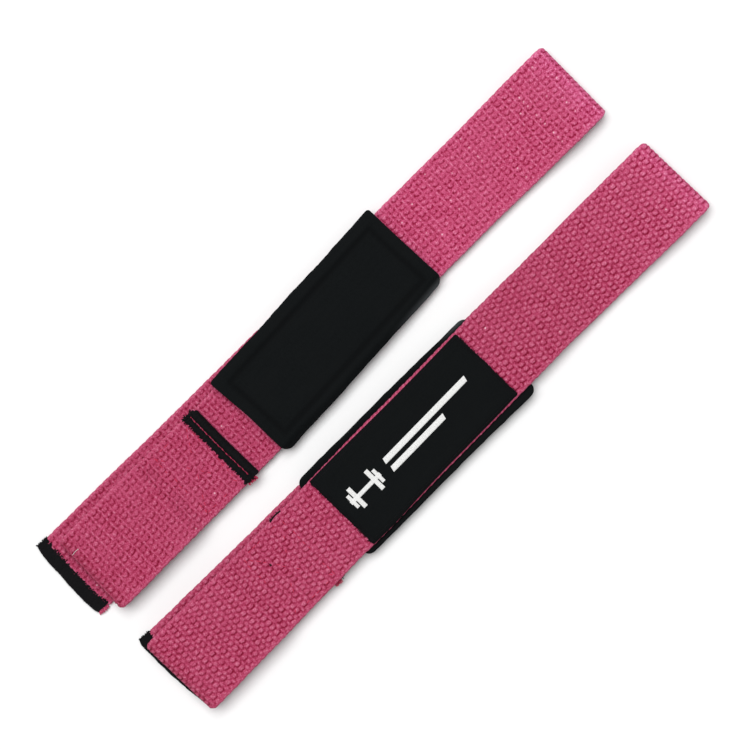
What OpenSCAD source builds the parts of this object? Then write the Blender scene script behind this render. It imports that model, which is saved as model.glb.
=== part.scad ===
// Pair of padded wrist straps for bar and ring work, laid side by side.
// Each strap is one length of cotton webbing folded in half: the plain tail
// lies flat underneath, the upper half carries the wrist pad, the label and,
// at its free end, a sewn loop that the tail is threaded through.
// X runs along the straps, from the loop ends towards the folds.
// Y runs across, the first strap (pad face up) at Y 0 and the second
// (label face up) on its -Y side.  Z is up; the tails rest on Z 0 and the
// origin lies under the middle of the first strap's pad.
// Prefixes a_ and b_ mark the first and second strap.  Endings: _l length,
// _w width, _h height, _t thickness, _x and _y places, _z underside heights.

/* [Webbing] */
// Width of the webbing
web_w = 40; // [36:1:41]
// Thickness of the webbing
web_t = 2.2; // [1.8:0.1:2.6]
// Outer height of the U where each strap is folded in half
fold_h = 8.6; // [8:0.1:9.4]

/* [Wrist pad] */
// Length of the pad
pad_l = 101.2; // [92:0.2:104]
// Width of the pad
pad_w = 44.8; // [41:0.2:47]
// Thickness of the pad, both facings included
pad_t = 4; // [3:0.1:4.4]
// Thickness of the knit facing on each side of the foam
facing_t = 0.5; // [0.3:0.1:0.8]
// Radius of the pad's corners
pad_corner = 3.4; // [1:0.1:6]

/* [Label] */
// Length of the woven label patch
label_l = 89.8; // [70:0.1:91]
// Width of the woven label patch
label_w = 37.5; // [26:0.1:37.6]
// Thickness of the label patch
label_t = 0.7; // [0.4:0.1:0.9]

/* [Loop] */
// Height of the tunnel that the tail is threaded through
loop_gap = 4.6; // [4.3:0.1:5.4]
// Length of the closing bar tack across the webbing
bar_l = 38.6; // [32:0.2:40]
// Height of the satin stitches of the bar tack
bar_h = 0.9; // [0.6:0.1:1.1]

/* [First strap, pad up] */
// Distance from pad centre to the outside of the fold
a_fold_x = 152.9; // [140:0.1:165]
// Distance from pad centre to the end of the tail
a_tail_x = 158.1; // [150:0.1:160]
// Distance from pad centre to the outer end of the loop
a_loop_x = 147.4; // [146:0.1:149]
// Turn of the pad about the vertical, degrees
a_pad_yaw = 3.05; // [0:0.05:4]
// Sideways place of the fold and of the tail
a_y_fold = 2.1; // [0:0.1:3]
// Sideways place of the loop end
a_y_loop = -2.8; // [-4:0.1:0]

/* [Second strap, label up] */
// Distance from pad centre to the outside of the fold
b_fold_x = 160.7; // [150:0.1:170]
// Distance from pad centre to the end of the tail
b_tail_x = 149.2; // [147:0.1:156]
// Distance from pad centre to the outer end of the loop
b_loop_x = 146.6; // [144.5:0.1:149]
// Turn of the pad about the vertical, degrees
b_pad_yaw = 0.1; // [0:0.05:3]
// Turn of the label about the vertical, degrees
b_label_yaw = 1.05; // [0:0.05:2]
// Place of the label along X, from the pad centre
b_label_x = -1.3; // [-3:0.1:3]
// Sideways place of the fold and of the tail
b_y_fold = 1.2; // [0:0.1:3]
// Sideways place of the loop end
b_y_loop = -1.4; // [-3:0.1:0]
// Place of the second strap's pad centre along X, from the first's
b_dx = -4.7; // [-12:0.1:12]
// Place of the second strap's pad centre across Y, from the first's
b_dy = -59.4; // [-80:0.2:-54]

/* [Hidden] */
$fn = 48;

pink = [0.78, 0.30, 0.44];
pink_thread = [0.80, 0.20, 0.32];
black = [0.09, 0.10, 0.11];
foam_grey = [0.15, 0.15, 0.16];
label_thread = [0.05, 0.05, 0.06];
white = [0.93, 0.93, 0.92];

gap = 0.05;              // between neighbouring pieces
tight_gap = 0.03;        // under the bar tack, and each side of the cut at top_x
overlap = 0.01;          // joins shapes of one piece
slit = 0.25;             // half of the slit at each line where the strap bends
thread_t = 0.1;          // height of flat stitches
seam_w = 0.5;            // width of a single line of stitches

// Distances from the pad centre
bend_x = 57.5;           // the strap bends just outside the pad's ends
flap_x = 64.6;           // cut end of the turned-back webbing
sew_x = 94;              // outer edge of the sewn part of the loop
top_x = 97;              // the liftable top of the loop ends here
rise_x = 103;            // from here inwards the two layers of the loop draw together

short_leg = 2.5;         // straight stub beyond the loop's U
fold_leg = 6;            // straight stub beyond the big U
fold_low = fold_h - web_t;   // underside of the upper leg at the fold

// Underside heights of the loop's two layers, both straps
loop_low_z = web_t + 0.25;
loop_up_z = loop_low_z + web_t + loop_gap;

// First strap, upwards: label, webbing, pad; the flap lies on the webbing
a_label_z = web_t + 0.15;
a_main_z = a_label_z + label_t + gap;
a_mark_z = a_label_z - thread_t;
a_pad_z = a_main_z + web_t + gap;
sewn_gap = 0.1;          // between the sewn layers of the loop
a_sewn_z = a_main_z + web_t + sewn_gap;

// Second strap, upwards: pad, webbing, label; the flap lies below the webbing
b_pad_z = web_t + 0.2;
b_main_z = b_pad_z + pad_t + gap;
b_label_z = b_main_z + web_t + gap;
b_mark_z = b_label_z + label_t;
b_sewn_z = b_main_z - web_t - sewn_gap;

// ---- Shared shapes ---------------------------------------------------
// Smooth change from z0 at x0 to z1 at x1, flat outside
function ease(x, x0, z0, x1, z1) =
  let (part = min(1, max(0, (x - x0) / (x1 - x0))))
  z0 + (z1 - z0) * part * part * (3 - 2 * part);

// Evenly spaced values, both ends included
function spread(start, end, count) = [for (i = [0:count]) start + (end - start) * i / count];

// 2D band of webbing over a list of [x, underside height]
module band(points)
  polygon(concat(points,
    [for (i = [len(points) - 1:-1:0]) [points[i][0], points[i][1] + web_t]]));

// Turns a 2D outline drawn in X and Z into a solid of the given width about y
module across(width, y)
  translate([0, y + width / 2, 0]) rotate([90, 0, 0]) linear_extrude(width) children();

// Half ring that opens towards -X, or +X when flip is set
module u_turn(x, z, outer_r, inner_r, flip = false)
  intersection() {
    translate([x, z]) difference() {
      circle(outer_r);
      circle(inner_r);
    }
    translate([flip ? x - 2 * outer_r : x, z - 2 * outer_r]) square([2 * outer_r, 4 * outer_r]);
  }

// Rectangle with rounded corners about the origin
module rounded(length, width, radius) {
  square([length - 2 * radius, width], center = true);
  square([length, width - 2 * radius], center = true);
  for (sx = [-1, 1], sy = [-1, 1])
    translate([sx * (length / 2 - radius), sy * (width / 2 - radius)]) circle(radius);
}

// Low dome from x0 to x1 standing on z, up for side = 1 and down for side = -1
module dome(x0, x1, z, height, side)
  polygon([for (angle = spread(0, 180, 16))
    [(x0 + x1) / 2 - (x1 - x0) / 2 * cos(angle), z + side * height * sin(angle)]]);

// ---- Tail ------------------------------------------------------------
bind_l = 6.1;            // length of the bound tail end
bind_t = 0.4;            // binding above and below the webbing
bind_end_t = 0.45;       // binding over the webbing's end
bind_w = web_w - 2.4;

// Straight lower half; its end is thinner where the binding holds it
module tail_webbing(tail_x, fold_x, y) color(pink)
  across(web_w, y) {
    end_x = -tail_x + bind_end_t + gap;
    step_x = -tail_x + bind_l;
    step_h = bind_t + gap;
    turn_x = fold_x - fold_h / 2;
    polygon([
      [end_x, step_h], [step_x, step_h], [step_x, 0],
      [turn_x, 0], [turn_x, web_t],
      [step_x, web_t], [step_x, web_t - step_h], [end_x, web_t - step_h]
    ]);
  }

// Dense overcast stitching wrapped round the tail's end
module tail_binding(tail_x, y) color(black)
  across(bind_w, y) difference() {
    translate([-tail_x, 0]) square([bind_l - gap, web_t]);
    translate([-tail_x + bind_end_t, bind_t]) square([bind_l, web_t - 2 * bind_t]);
  }

// ---- Fold in half ----------------------------------------------------
module fold_webbing(fold_x, y) color(pink)
  across(web_w, y) {
    turn_x = fold_x - fold_h / 2;
    u_turn(turn_x, fold_h / 2, fold_h / 2, fold_h / 2 - web_t);
    translate([turn_x - fold_leg, fold_low]) square([fold_leg + overlap, web_t]);
  }

// ---- Upper half, between the pad and the fold ------------------------
front_flat = 4;          // level run at each end
front_mid = [42, 46];    // level run at mid_z, from the pad's end of the piece

// Eases from pad_z to mid_z, then to the fold's upper leg
module front_webbing(fold_x, y, pad_z, mid_z) color(pink)
  across(web_w, y) {
    x0 = bend_x + slit;
    x1 = fold_x - fold_h / 2 - fold_leg - gap;
    band([for (x = spread(x0, x1, 24))
      [x, ease(x, x0 + front_flat, pad_z, x0 + front_mid[0], mid_z)
        + ease(x, x0 + front_mid[1], 0, x1 - front_flat, fold_low - mid_z)]]);
  }

// ---- Padded part -----------------------------------------------------
// Webbing along the pad drifts sideways from the loop's line to the fold's
module pad_webbing(z, y_loop, y_fold) color(pink)
  translate([0, 0, z]) linear_extrude(web_t) {
    x = bend_x - slit;
    half_w = web_w / 2;
    polygon([[-x, y_loop - half_w], [x, y_fold - half_w],
      [x, y_fold + half_w], [-x, y_loop + half_w]]);
  }

// Extrudes a 2D shape upwards from z, turned about the vertical
module turned_layer(z, thickness, yaw)
  translate([0, 0, z]) rotate([0, 0, yaw]) linear_extrude(thickness) children();

module pad_layer(z, thickness, yaw)
  turned_layer(z, thickness, yaw) rounded(pad_l, pad_w, pad_corner);

// The three layers take the underside height of the whole pad
module pad_lower_facing(pad_z, yaw) color(black) pad_layer(pad_z, facing_t, yaw);
module pad_foam(pad_z, yaw) color(foam_grey)
  pad_layer(pad_z + facing_t, pad_t - 2 * facing_t, yaw);
module pad_upper_facing(pad_z, yaw) color(black)
  pad_layer(pad_z + pad_t - facing_t, facing_t, yaw);

// ---- Label -----------------------------------------------------------
module label_patch(z, yaw) color(black)
  turned_layer(z, label_t, yaw) square([label_l, label_w], center = true);

mark_label_l = 89.8;     // label length that the motif's sizes are for
rod_l = 18;
rod_w = 1.8;
rod_x = -30;
// Bar-bell discs: distance from the rod's middle, size in X, size in Y
discs = [[5.4, 2, 11], [7.8, 1.6, 7]];
bars_x = -16;            // -X end of both plain bars
bar_w = 2.6;
// Plain bars: -Y edge, length
bars = [[1.1, 50], [-3.7, 32]];

// Plain woven motif: a bar-bell outline and two bars, stretched with the label
module label_mark(z, yaw) color(white)
  turned_layer(z, thread_t, yaw) {
    stretch = label_l / mark_label_l;
    translate([rod_x * stretch, 0]) {
      square([rod_l * stretch, rod_w], center = true);
      for (side = [-1, 1], disc = discs)
        translate([side * disc[0] * stretch, 0])
          square([disc[1] * stretch, disc[2]], center = true);
    }
    for (bar = bars)
      translate([bars_x * stretch, bar[0]]) square([bar[1] * stretch, bar_w]);
  }

label_seam_in = 1;       // middle of the stitching, in from the label's edge
end_tack_w = 1.2;

// Stitching that holds the label: close tacks at both short ends, and a
// single line along each long edge
module label_stitching(z, yaw) color(label_thread)
  turned_layer(z, thread_t, yaw)
    for (side = [-1, 1]) {
      translate([side * (label_l / 2 - label_seam_in), 0])
        square([end_tack_w, label_w - 1], center = true);
      translate([0, side * (label_w / 2 - label_seam_in)])
        square([label_l - 3.6, seam_w], center = true);
    }

// ---- Loop ------------------------------------------------------------
loop_r = web_t + loop_gap / 2;   // outer radius of the loop's U

// Lower layer from the U at the loop's outer end to inner_x;
// sewn_z is its underside height in the sewn part
module loop_webbing(loop_x, inner_x, sewn_z, y) color(pink)
  across(web_w, y) {
    turn_x = -loop_x + loop_r;
    band(concat(
      [[turn_x - overlap, loop_low_z]],
      [for (x = spread(-rise_x, -sew_x, 16))
        [x, ease(x, -rise_x, loop_low_z, -sew_x, sewn_z)]],
      [[-inner_x, sewn_z]]));
    u_turn(turn_x, loop_low_z + loop_r, loop_r, loop_gap / 2, flip = true);
    translate([turn_x - overlap, loop_up_z]) square([short_leg, web_t]);
  }

// Upper layer's points from x0 to x1: free over the tunnel, down on the
// lower layer where sewn
function loop_upper(x0, x1, count, sewn_z) =
  [for (x = spread(x0, x1, count)) [x, ease(x, -rise_x, loop_up_z, -sew_x, sewn_z)]];

// Free top of the loop, which lifts to open the tunnel
module loop_top_webbing(loop_x, sewn_z, y) color(pink)
  across(web_w, y)
    band(concat(
      [[-loop_x + loop_r + short_leg + gap, loop_up_z]],
      loop_upper(-rise_x, -top_x - tight_gap, 6, sewn_z)));

// Sewn end of the upper layer, as far as inner_x
module loop_rear_webbing(inner_x, sewn_z, y) color(pink)
  across(web_w, y)
    band(concat(
      loop_upper(-top_x + tight_gap, -sew_x + tight_gap, 4, sewn_z),
      [[-inner_x, sewn_z]]));

tack_end_x = -flap_x + 0.4;
tack_lip = 0.3;          // thickness of the stitches over the flap's cut end
// Rows of satin stitch: X start, X end, height
tack_rows = [
  [-flap_x - 6.5, -flap_x - 4.1, bar_h * 0.8],
  [-flap_x - 3.3, tack_end_x, bar_h]
];

// Bar tack: two raised rows of satin stitch across the cut end of the flap.
// side = 1 when it lies on top of the flap, -1 when below it; face_z is the
// flap's outer face, base_z the face of the webbing that the flap is sewn to
module loop_bar_tack(face_z, base_z, y, side) color(black)
  across(bar_l, y) {
    z = face_z + side * tight_gap;
    lip_z = base_z + side * gap;
    for (row = tack_rows) dome(row[0], row[1], z, row[2], side);
    polygon([[tack_end_x - tack_lip, z], [tack_end_x, z],
      [tack_end_x, lip_z], [tack_end_x - tack_lip, lip_z]]);
  }

box_x0 = -sew_x + 0.7;
box_x1 = -flap_x - 7.8;
box_edge = 3.4;          // from the webbing's edges to the box's long sides

// Box of stitches with crossed diagonals, on the upper face of the loop
module loop_box_stitch(z, y) color(pink_thread)
  translate([0, y, z]) linear_extrude(thread_t) {
    box_l = box_x1 - box_x0;
    box_w = web_w - 2 * box_edge;
    mid_x = (box_x0 + box_x1) / 2;
    for (x = [box_x0, box_x1]) translate([x, 0]) square([seam_w, box_w], center = true);
    for (side = [-1, 1]) {
      translate([mid_x, side * box_w / 2]) square([box_l, seam_w], center = true);
      translate([mid_x, 0]) rotate(side * atan2(box_w, box_l))
        square([norm([box_w, box_l]) - 0.6, seam_w], center = true);
    }
  }

// ---- First strap: pad up, label underneath ---------------------------
module a_tail_webbing() tail_webbing(a_tail_x, a_fold_x, a_y_fold);
module a_tail_binding() tail_binding(a_tail_x, a_y_fold);
module a_fold_webbing() fold_webbing(a_fold_x, a_y_fold);
module a_front_webbing() front_webbing(a_fold_x, a_y_fold, a_main_z, a_main_z);
module a_pad_webbing() pad_webbing(a_main_z, a_y_loop, a_y_fold);
module a_pad_backing() pad_lower_facing(a_pad_z, a_pad_yaw);
module a_pad_foam() pad_foam(a_pad_z, a_pad_yaw);
module a_pad_facing() pad_upper_facing(a_pad_z, a_pad_yaw);
module a_label_patch() label_patch(a_label_z, a_pad_yaw);
module a_label_mark() label_mark(a_mark_z, a_pad_yaw);
module a_label_stitching() label_stitching(a_mark_z, a_pad_yaw);
module a_loop_webbing() loop_webbing(a_loop_x, bend_x + slit, a_main_z, a_y_loop);
module a_loop_top_webbing() loop_top_webbing(a_loop_x, a_sewn_z, a_y_loop);
module a_loop_rear_webbing() loop_rear_webbing(flap_x, a_sewn_z, a_y_loop);
module a_loop_bar_tack() loop_bar_tack(a_sewn_z + web_t, a_main_z + web_t, a_y_loop, 1);
module a_loop_box_stitch() loop_box_stitch(a_sewn_z + web_t, a_y_loop);

// ---- Second strap: label up, pad underneath --------------------------
module b_place() translate([b_dx, b_dy, 0]) children();
module b_label_place() b_place() translate([b_label_x, 0, 0]) children();

module b_tail_webbing() b_place() tail_webbing(b_tail_x, b_fold_x, b_y_fold);
module b_tail_binding() b_place() tail_binding(b_tail_x, b_y_fold);
module b_fold_webbing() b_place() fold_webbing(b_fold_x, b_y_fold);
module b_front_webbing() b_place() front_webbing(b_fold_x, b_y_fold, b_main_z, web_t + 1.6);
module b_pad_webbing() b_place() pad_webbing(b_main_z, b_y_loop, b_y_fold);
module b_pad_backing() b_place() pad_upper_facing(b_pad_z, b_pad_yaw);
module b_pad_foam() b_place() pad_foam(b_pad_z, b_pad_yaw);
module b_pad_facing() b_place() pad_lower_facing(b_pad_z, b_pad_yaw);
module b_label_patch() b_label_place() label_patch(b_label_z, b_label_yaw);
module b_label_mark() b_label_place() label_mark(b_mark_z, b_label_yaw);
module b_label_stitching() b_label_place() label_stitching(b_mark_z, b_label_yaw);
module b_loop_webbing() b_place() loop_webbing(b_loop_x, flap_x, b_sewn_z, b_y_loop);
module b_loop_top_webbing() b_place() loop_top_webbing(b_loop_x, b_main_z, b_y_loop);
module b_loop_rear_webbing() b_place() loop_rear_webbing(bend_x + slit, b_main_z, b_y_loop);
module b_loop_bar_tack() b_place() loop_bar_tack(b_sewn_z, b_main_z, b_y_loop, -1);
module b_loop_box_stitch() b_place() loop_box_stitch(b_main_z + web_t, b_y_loop);

a_tail_webbing();
a_tail_binding();
a_fold_webbing();
a_front_webbing();
a_pad_webbing();
a_pad_backing();
a_pad_foam();
a_pad_facing();
a_label_patch();
a_label_mark();
a_label_stitching();
a_loop_webbing();
a_loop_top_webbing();
a_loop_rear_webbing();
a_loop_bar_tack();
a_loop_box_stitch();
b_tail_webbing();
b_tail_binding();
b_fold_webbing();
b_front_webbing();
b_pad_webbing();
b_pad_backing();
b_pad_foam();
b_pad_facing();
b_label_patch();
b_label_mark();
b_label_stitching();
b_loop_webbing();
b_loop_top_webbing();
b_loop_rear_webbing();
b_loop_bar_tack();
b_loop_box_stitch();
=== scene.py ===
"""Two webbing straps, "a" and "b", lying flat on a floor at z = 0 with their length along X.

Each strap starts at a bound tail end, runs towards +X, folds back over itself, carries a
padded part with a label, and ends in a sewn loop at -X. Strap a has its pad's facing on top
and its label below; strap b is the other way up.
Lengths are in millimetres and become metres when a mesh is made. The light and the camera
are in metres.
"""

import math

import bpy
import numpy as np
from mathutils import Matrix, Vector


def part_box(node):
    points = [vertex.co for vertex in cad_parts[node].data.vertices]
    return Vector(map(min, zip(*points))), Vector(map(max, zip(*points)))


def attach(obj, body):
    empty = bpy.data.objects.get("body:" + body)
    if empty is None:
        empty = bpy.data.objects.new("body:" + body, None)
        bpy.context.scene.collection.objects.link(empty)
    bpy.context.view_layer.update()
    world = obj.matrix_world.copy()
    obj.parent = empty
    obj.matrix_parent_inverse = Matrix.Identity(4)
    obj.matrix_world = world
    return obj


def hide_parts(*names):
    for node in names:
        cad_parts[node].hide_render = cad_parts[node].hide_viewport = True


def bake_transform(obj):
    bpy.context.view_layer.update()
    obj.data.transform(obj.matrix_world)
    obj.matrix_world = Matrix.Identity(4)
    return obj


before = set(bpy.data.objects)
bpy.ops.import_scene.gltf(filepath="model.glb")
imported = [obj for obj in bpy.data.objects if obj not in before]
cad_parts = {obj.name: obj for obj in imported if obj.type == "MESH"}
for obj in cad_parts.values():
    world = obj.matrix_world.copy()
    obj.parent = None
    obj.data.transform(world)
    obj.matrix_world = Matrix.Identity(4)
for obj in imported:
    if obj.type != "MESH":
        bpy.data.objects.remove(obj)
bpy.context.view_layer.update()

# Webbing
PICK = 2.175  # distance between two weft picks along the strap
REPEAT = 2 * PICK  # the weave's repeat along the strap
ROW = 2.64  # distance between two knots of one column, across the strap
STEP = PICK / 8  # mesh step along the strap
WEB_HALF = 20.0  # half the webbing's width
FLAT_HALF = 19.0  # half the width inside the rounded selvedges
RELIEF = 0.56  # depth of the weave's pits
PATH_STEP = 0.05  # step of the centre line

# Places along X, from the middle of the pad
FLAP_END = -64.6  # cut end of the loop
PAD_TURN = 57.25  # where the webbing's sideways course changes

# Pad and label
PAD_LENGTH, PAD_WIDTH = 101.2, 44.8
SEAM_HALF_X, SEAM_HALF_Y = 44.6, 16.1  # sewn rectangle that holds pad and label
LABEL_LENGTH, LABEL_WIDTH = 89.8, 37.5


def smooth(x, start, stop):
    t = np.clip((np.asarray(x, float) - start) / (stop - start), 0, 1)
    return t * t * (3 - 2 * t)


def lerp(first, second, share):
    return first + (second - first) * share


def snap(along):
    """The nearest whole mesh step."""
    return round(along / STEP) * STEP


def points(x, y, z):
    """Rows of x, y, z from arrays or single numbers."""
    return np.stack(np.broadcast_arrays(x, y, z), -1)


def metres(x, y, z):
    return (x * 0.001, y * 0.001, z * 0.001)


# ---------------------------------------------------------------- noise
def hash2(i, j, seed):
    """A number from 0 to 1 for each lattice cell."""
    single = np.ndim(i) == 0 and np.ndim(j) == 0
    # arrays, because their products may wrap round
    i = np.atleast_1d(np.asarray(i)).astype(np.int64)
    j = np.atleast_1d(np.asarray(j)).astype(np.int64)
    bits = (i * 374761393 + j * 668265263 + seed * 362437) & 0xFFFFFFFF
    bits = ((bits ^ (bits >> 13)) * 1274126177) & 0xFFFFFFFF
    bits = ((bits ^ (bits >> 15)) * 2246822519) & 0xFFFFFFFF
    share = ((bits ^ (bits >> 16)) & 0xFFFFFF) / float(0x1000000)
    return float(share[0]) if single else share


def hashes(i, j, *seeds):
    return [hash2(i, j, seed) for seed in seeds]


def vnoise(x, y, seed):
    """Smooth noise from -1 to 1 with a lattice of 1."""
    x, y = np.broadcast_arrays(np.asarray(x, float), np.asarray(y, float))
    i, j = np.floor(x), np.floor(y)
    u, v = x - i, y - j
    u, v = u * u * (3 - 2 * u), v * v * (3 - 2 * v)
    low = lerp(hash2(i, j, seed), hash2(i + 1, j, seed), u)
    high = lerp(hash2(i, j + 1, seed), hash2(i + 1, j + 1, seed), u)
    return lerp(low, high, v) * 2 - 1


# ---------------------------------------------------------------- meshes
def mesh_object(name, verts, faces, material, attributes=None, sharp=None):
    """A mesh object from vertices in mm and a list of (m, 3) or (m, 4) face arrays.
    attributes: name -> a number or vector per vertex; sharp: vertex pairs of sharp edges."""
    mesh = bpy.data.meshes.new(name)
    verts = np.asarray(verts, float) * 0.001
    mesh.vertices.add(len(verts))
    mesh.vertices.foreach_set("co", verts.astype(np.float32).ravel())
    faces = [np.asarray(group, np.int32) for group in faces]
    corners = np.concatenate([group.ravel() for group in faces])
    totals = np.concatenate([np.full(len(group), group.shape[1], np.int32) for group in faces])
    starts = np.concatenate([[0], np.cumsum(totals)[:-1]]).astype(np.int32)
    mesh.loops.add(len(corners))
    mesh.loops.foreach_set("vertex_index", corners)
    mesh.polygons.add(len(totals))
    mesh.polygons.foreach_set("loop_start", starts)
    mesh.polygons.foreach_set("loop_total", totals)
    mesh.polygons.foreach_set("use_smooth", np.ones(len(totals), bool))
    mesh.update(calc_edges=True)
    if sharp is not None:
        edges = np.zeros(len(mesh.edges) * 2, np.int32)
        mesh.edges.foreach_get("vertices", edges)
        edges = np.sort(edges.reshape(-1, 2), axis=1).astype(np.int64)
        sharp = np.sort(np.asarray(sharp, np.int64), axis=1)
        keys, wanted = (pair[:, 0] * len(verts) + pair[:, 1] for pair in (edges, sharp))
        layer = mesh.attributes.new("sharp_edge", "BOOLEAN", "EDGE")
        layer.data.foreach_set("value", np.isin(keys, wanted))
    for key, values in (attributes or {}).items():
        values = np.asarray(values, np.float32)
        vector = values.ndim == 2
        layer = mesh.attributes.new(key, "FLOAT_VECTOR" if vector else "FLOAT", "POINT")
        layer.data.foreach_set("vector" if vector else "value", values.ravel())
    mesh.materials.append(material)
    ob = bpy.data.objects.new(name, mesh)
    bpy.context.scene.collection.objects.link(ob)
    return ob


def ring_faces(count, sides, flip=False):
    """Quads between closed rings of vertices that follow one another."""
    i = np.arange(count - 1)[:, None] * sides
    j = np.arange(sides)[None, :]
    after = (j + 1) % sides
    if flip:
        corners = [i + j, i + sides + j, i + sides + after, i + after]
    else:
        corners = [i + j, i + after, i + sides + after, i + sides + j]
    return np.stack(corners, -1).reshape(-1, 4)


class Threads:
    """Collects closed surfaces, most of them threads, into one mesh."""

    def __init__(self):
        self.verts, self.quads, self.tris, self.wv = [], [], [], []
        self.count = 0

    def add(self, verts, quads, tris, wv):
        self.verts.append(verts)
        self.quads.append(quads + self.count)
        if tris is not None:
            self.tris.append(tris + self.count)
        self.wv.append(wv)
        self.count += len(verts)

    def thread(self, line, radius, sides=6, flat=1.0):
        """A thread along a line of points; flat squeezes it in height."""
        line = np.asarray(line, float)
        count = len(line)
        tangent = np.gradient(line, axis=0)
        tangent /= np.linalg.norm(tangent, axis=1, keepdims=True) + 1e-12
        side = np.cross(tangent, np.array([0, 0, 1.0]))
        steep = np.abs(tangent[:, 2]) > 0.95
        if steep.all():
            side = np.cross(tangent, np.array([1.0, 0, 0]))
        elif steep.any():
            # where the thread runs upright it takes the sideways frame of its neighbours
            good = np.where(~steep)[0]
            for i in np.where(steep)[0]:
                side[i] = side[good[np.argmin(abs(good - i))]]
        side -= (side * tangent).sum(1, keepdims=True) * tangent
        side /= np.linalg.norm(side, axis=1, keepdims=True) + 1e-12
        normal = np.cross(side, tangent)
        angle = np.arange(sides) * 2 * math.pi / sides
        ring = radius * (
            side[:, None, :] * np.cos(angle)[None, :, None]
            + normal[:, None, :] * (np.sin(angle) * flat)[None, :, None]
        )
        tip = tangent * radius * 0.5
        body = (line[:, None, :] + ring).reshape(-1, 3)
        verts = np.concatenate([body, line[:1] - tip[:1], line[-1:] + tip[-1:]])
        j = np.arange(sides)
        after = (j + 1) % sides
        first_tip = np.full(sides, count * sides)
        last_ring = (count - 1) * sides
        tris = np.concatenate([
            np.stack([first_tip, after, j], -1),
            np.stack([first_tip + 1, last_ring + j, last_ring + after], -1),
        ])
        run = np.cumsum(np.linalg.norm(np.diff(line, axis=0), axis=1))
        run = np.concatenate([[0], run])
        wv = np.zeros((len(verts), 3))
        wv[: count * sides, 0] = np.repeat(run, sides)
        wv[: count * sides, 1] = np.tile(angle, count) * radius
        wv[count * sides + 1, 0] = run[-1]
        wv[:, 2] = self.count % 977  # sets the threads' textures apart
        self.add(verts, ring_faces(count, sides), tris, wv)

    def tuft(self, start, end, bow, radius, count=6):
        """A short curved fibre, its middle control point moved by bow."""
        start, end = np.array(start, float), np.array(end, float)
        middle = (start + end) / 2 + np.array(bow)
        t = np.linspace(0, 1, count)[:, None]
        line = (1 - t) ** 2 * start + 2 * t * (1 - t) * middle + t * t * end
        self.thread(line, radius, 5)

    def make(self, name, material):
        faces = [np.concatenate(self.quads), np.concatenate(self.tris)]
        wv = {"wv": np.concatenate(self.wv)}
        return mesh_object(name, np.concatenate(self.verts), faces, material, wv)


def register(ob, ride, replaces=None):
    if replaces:
        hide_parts(replaces)
    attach(ob, ride)


def turn_into_place(ob, centre, yaw):
    """Turns a piece modelled about the origin and moves it, in the mesh itself."""
    matrix = Matrix.Translation(Vector(centre) * 0.001) @ Matrix.Rotation(yaw, 4, "Z")
    ob.data.transform(matrix)
    ob.data.update()


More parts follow.
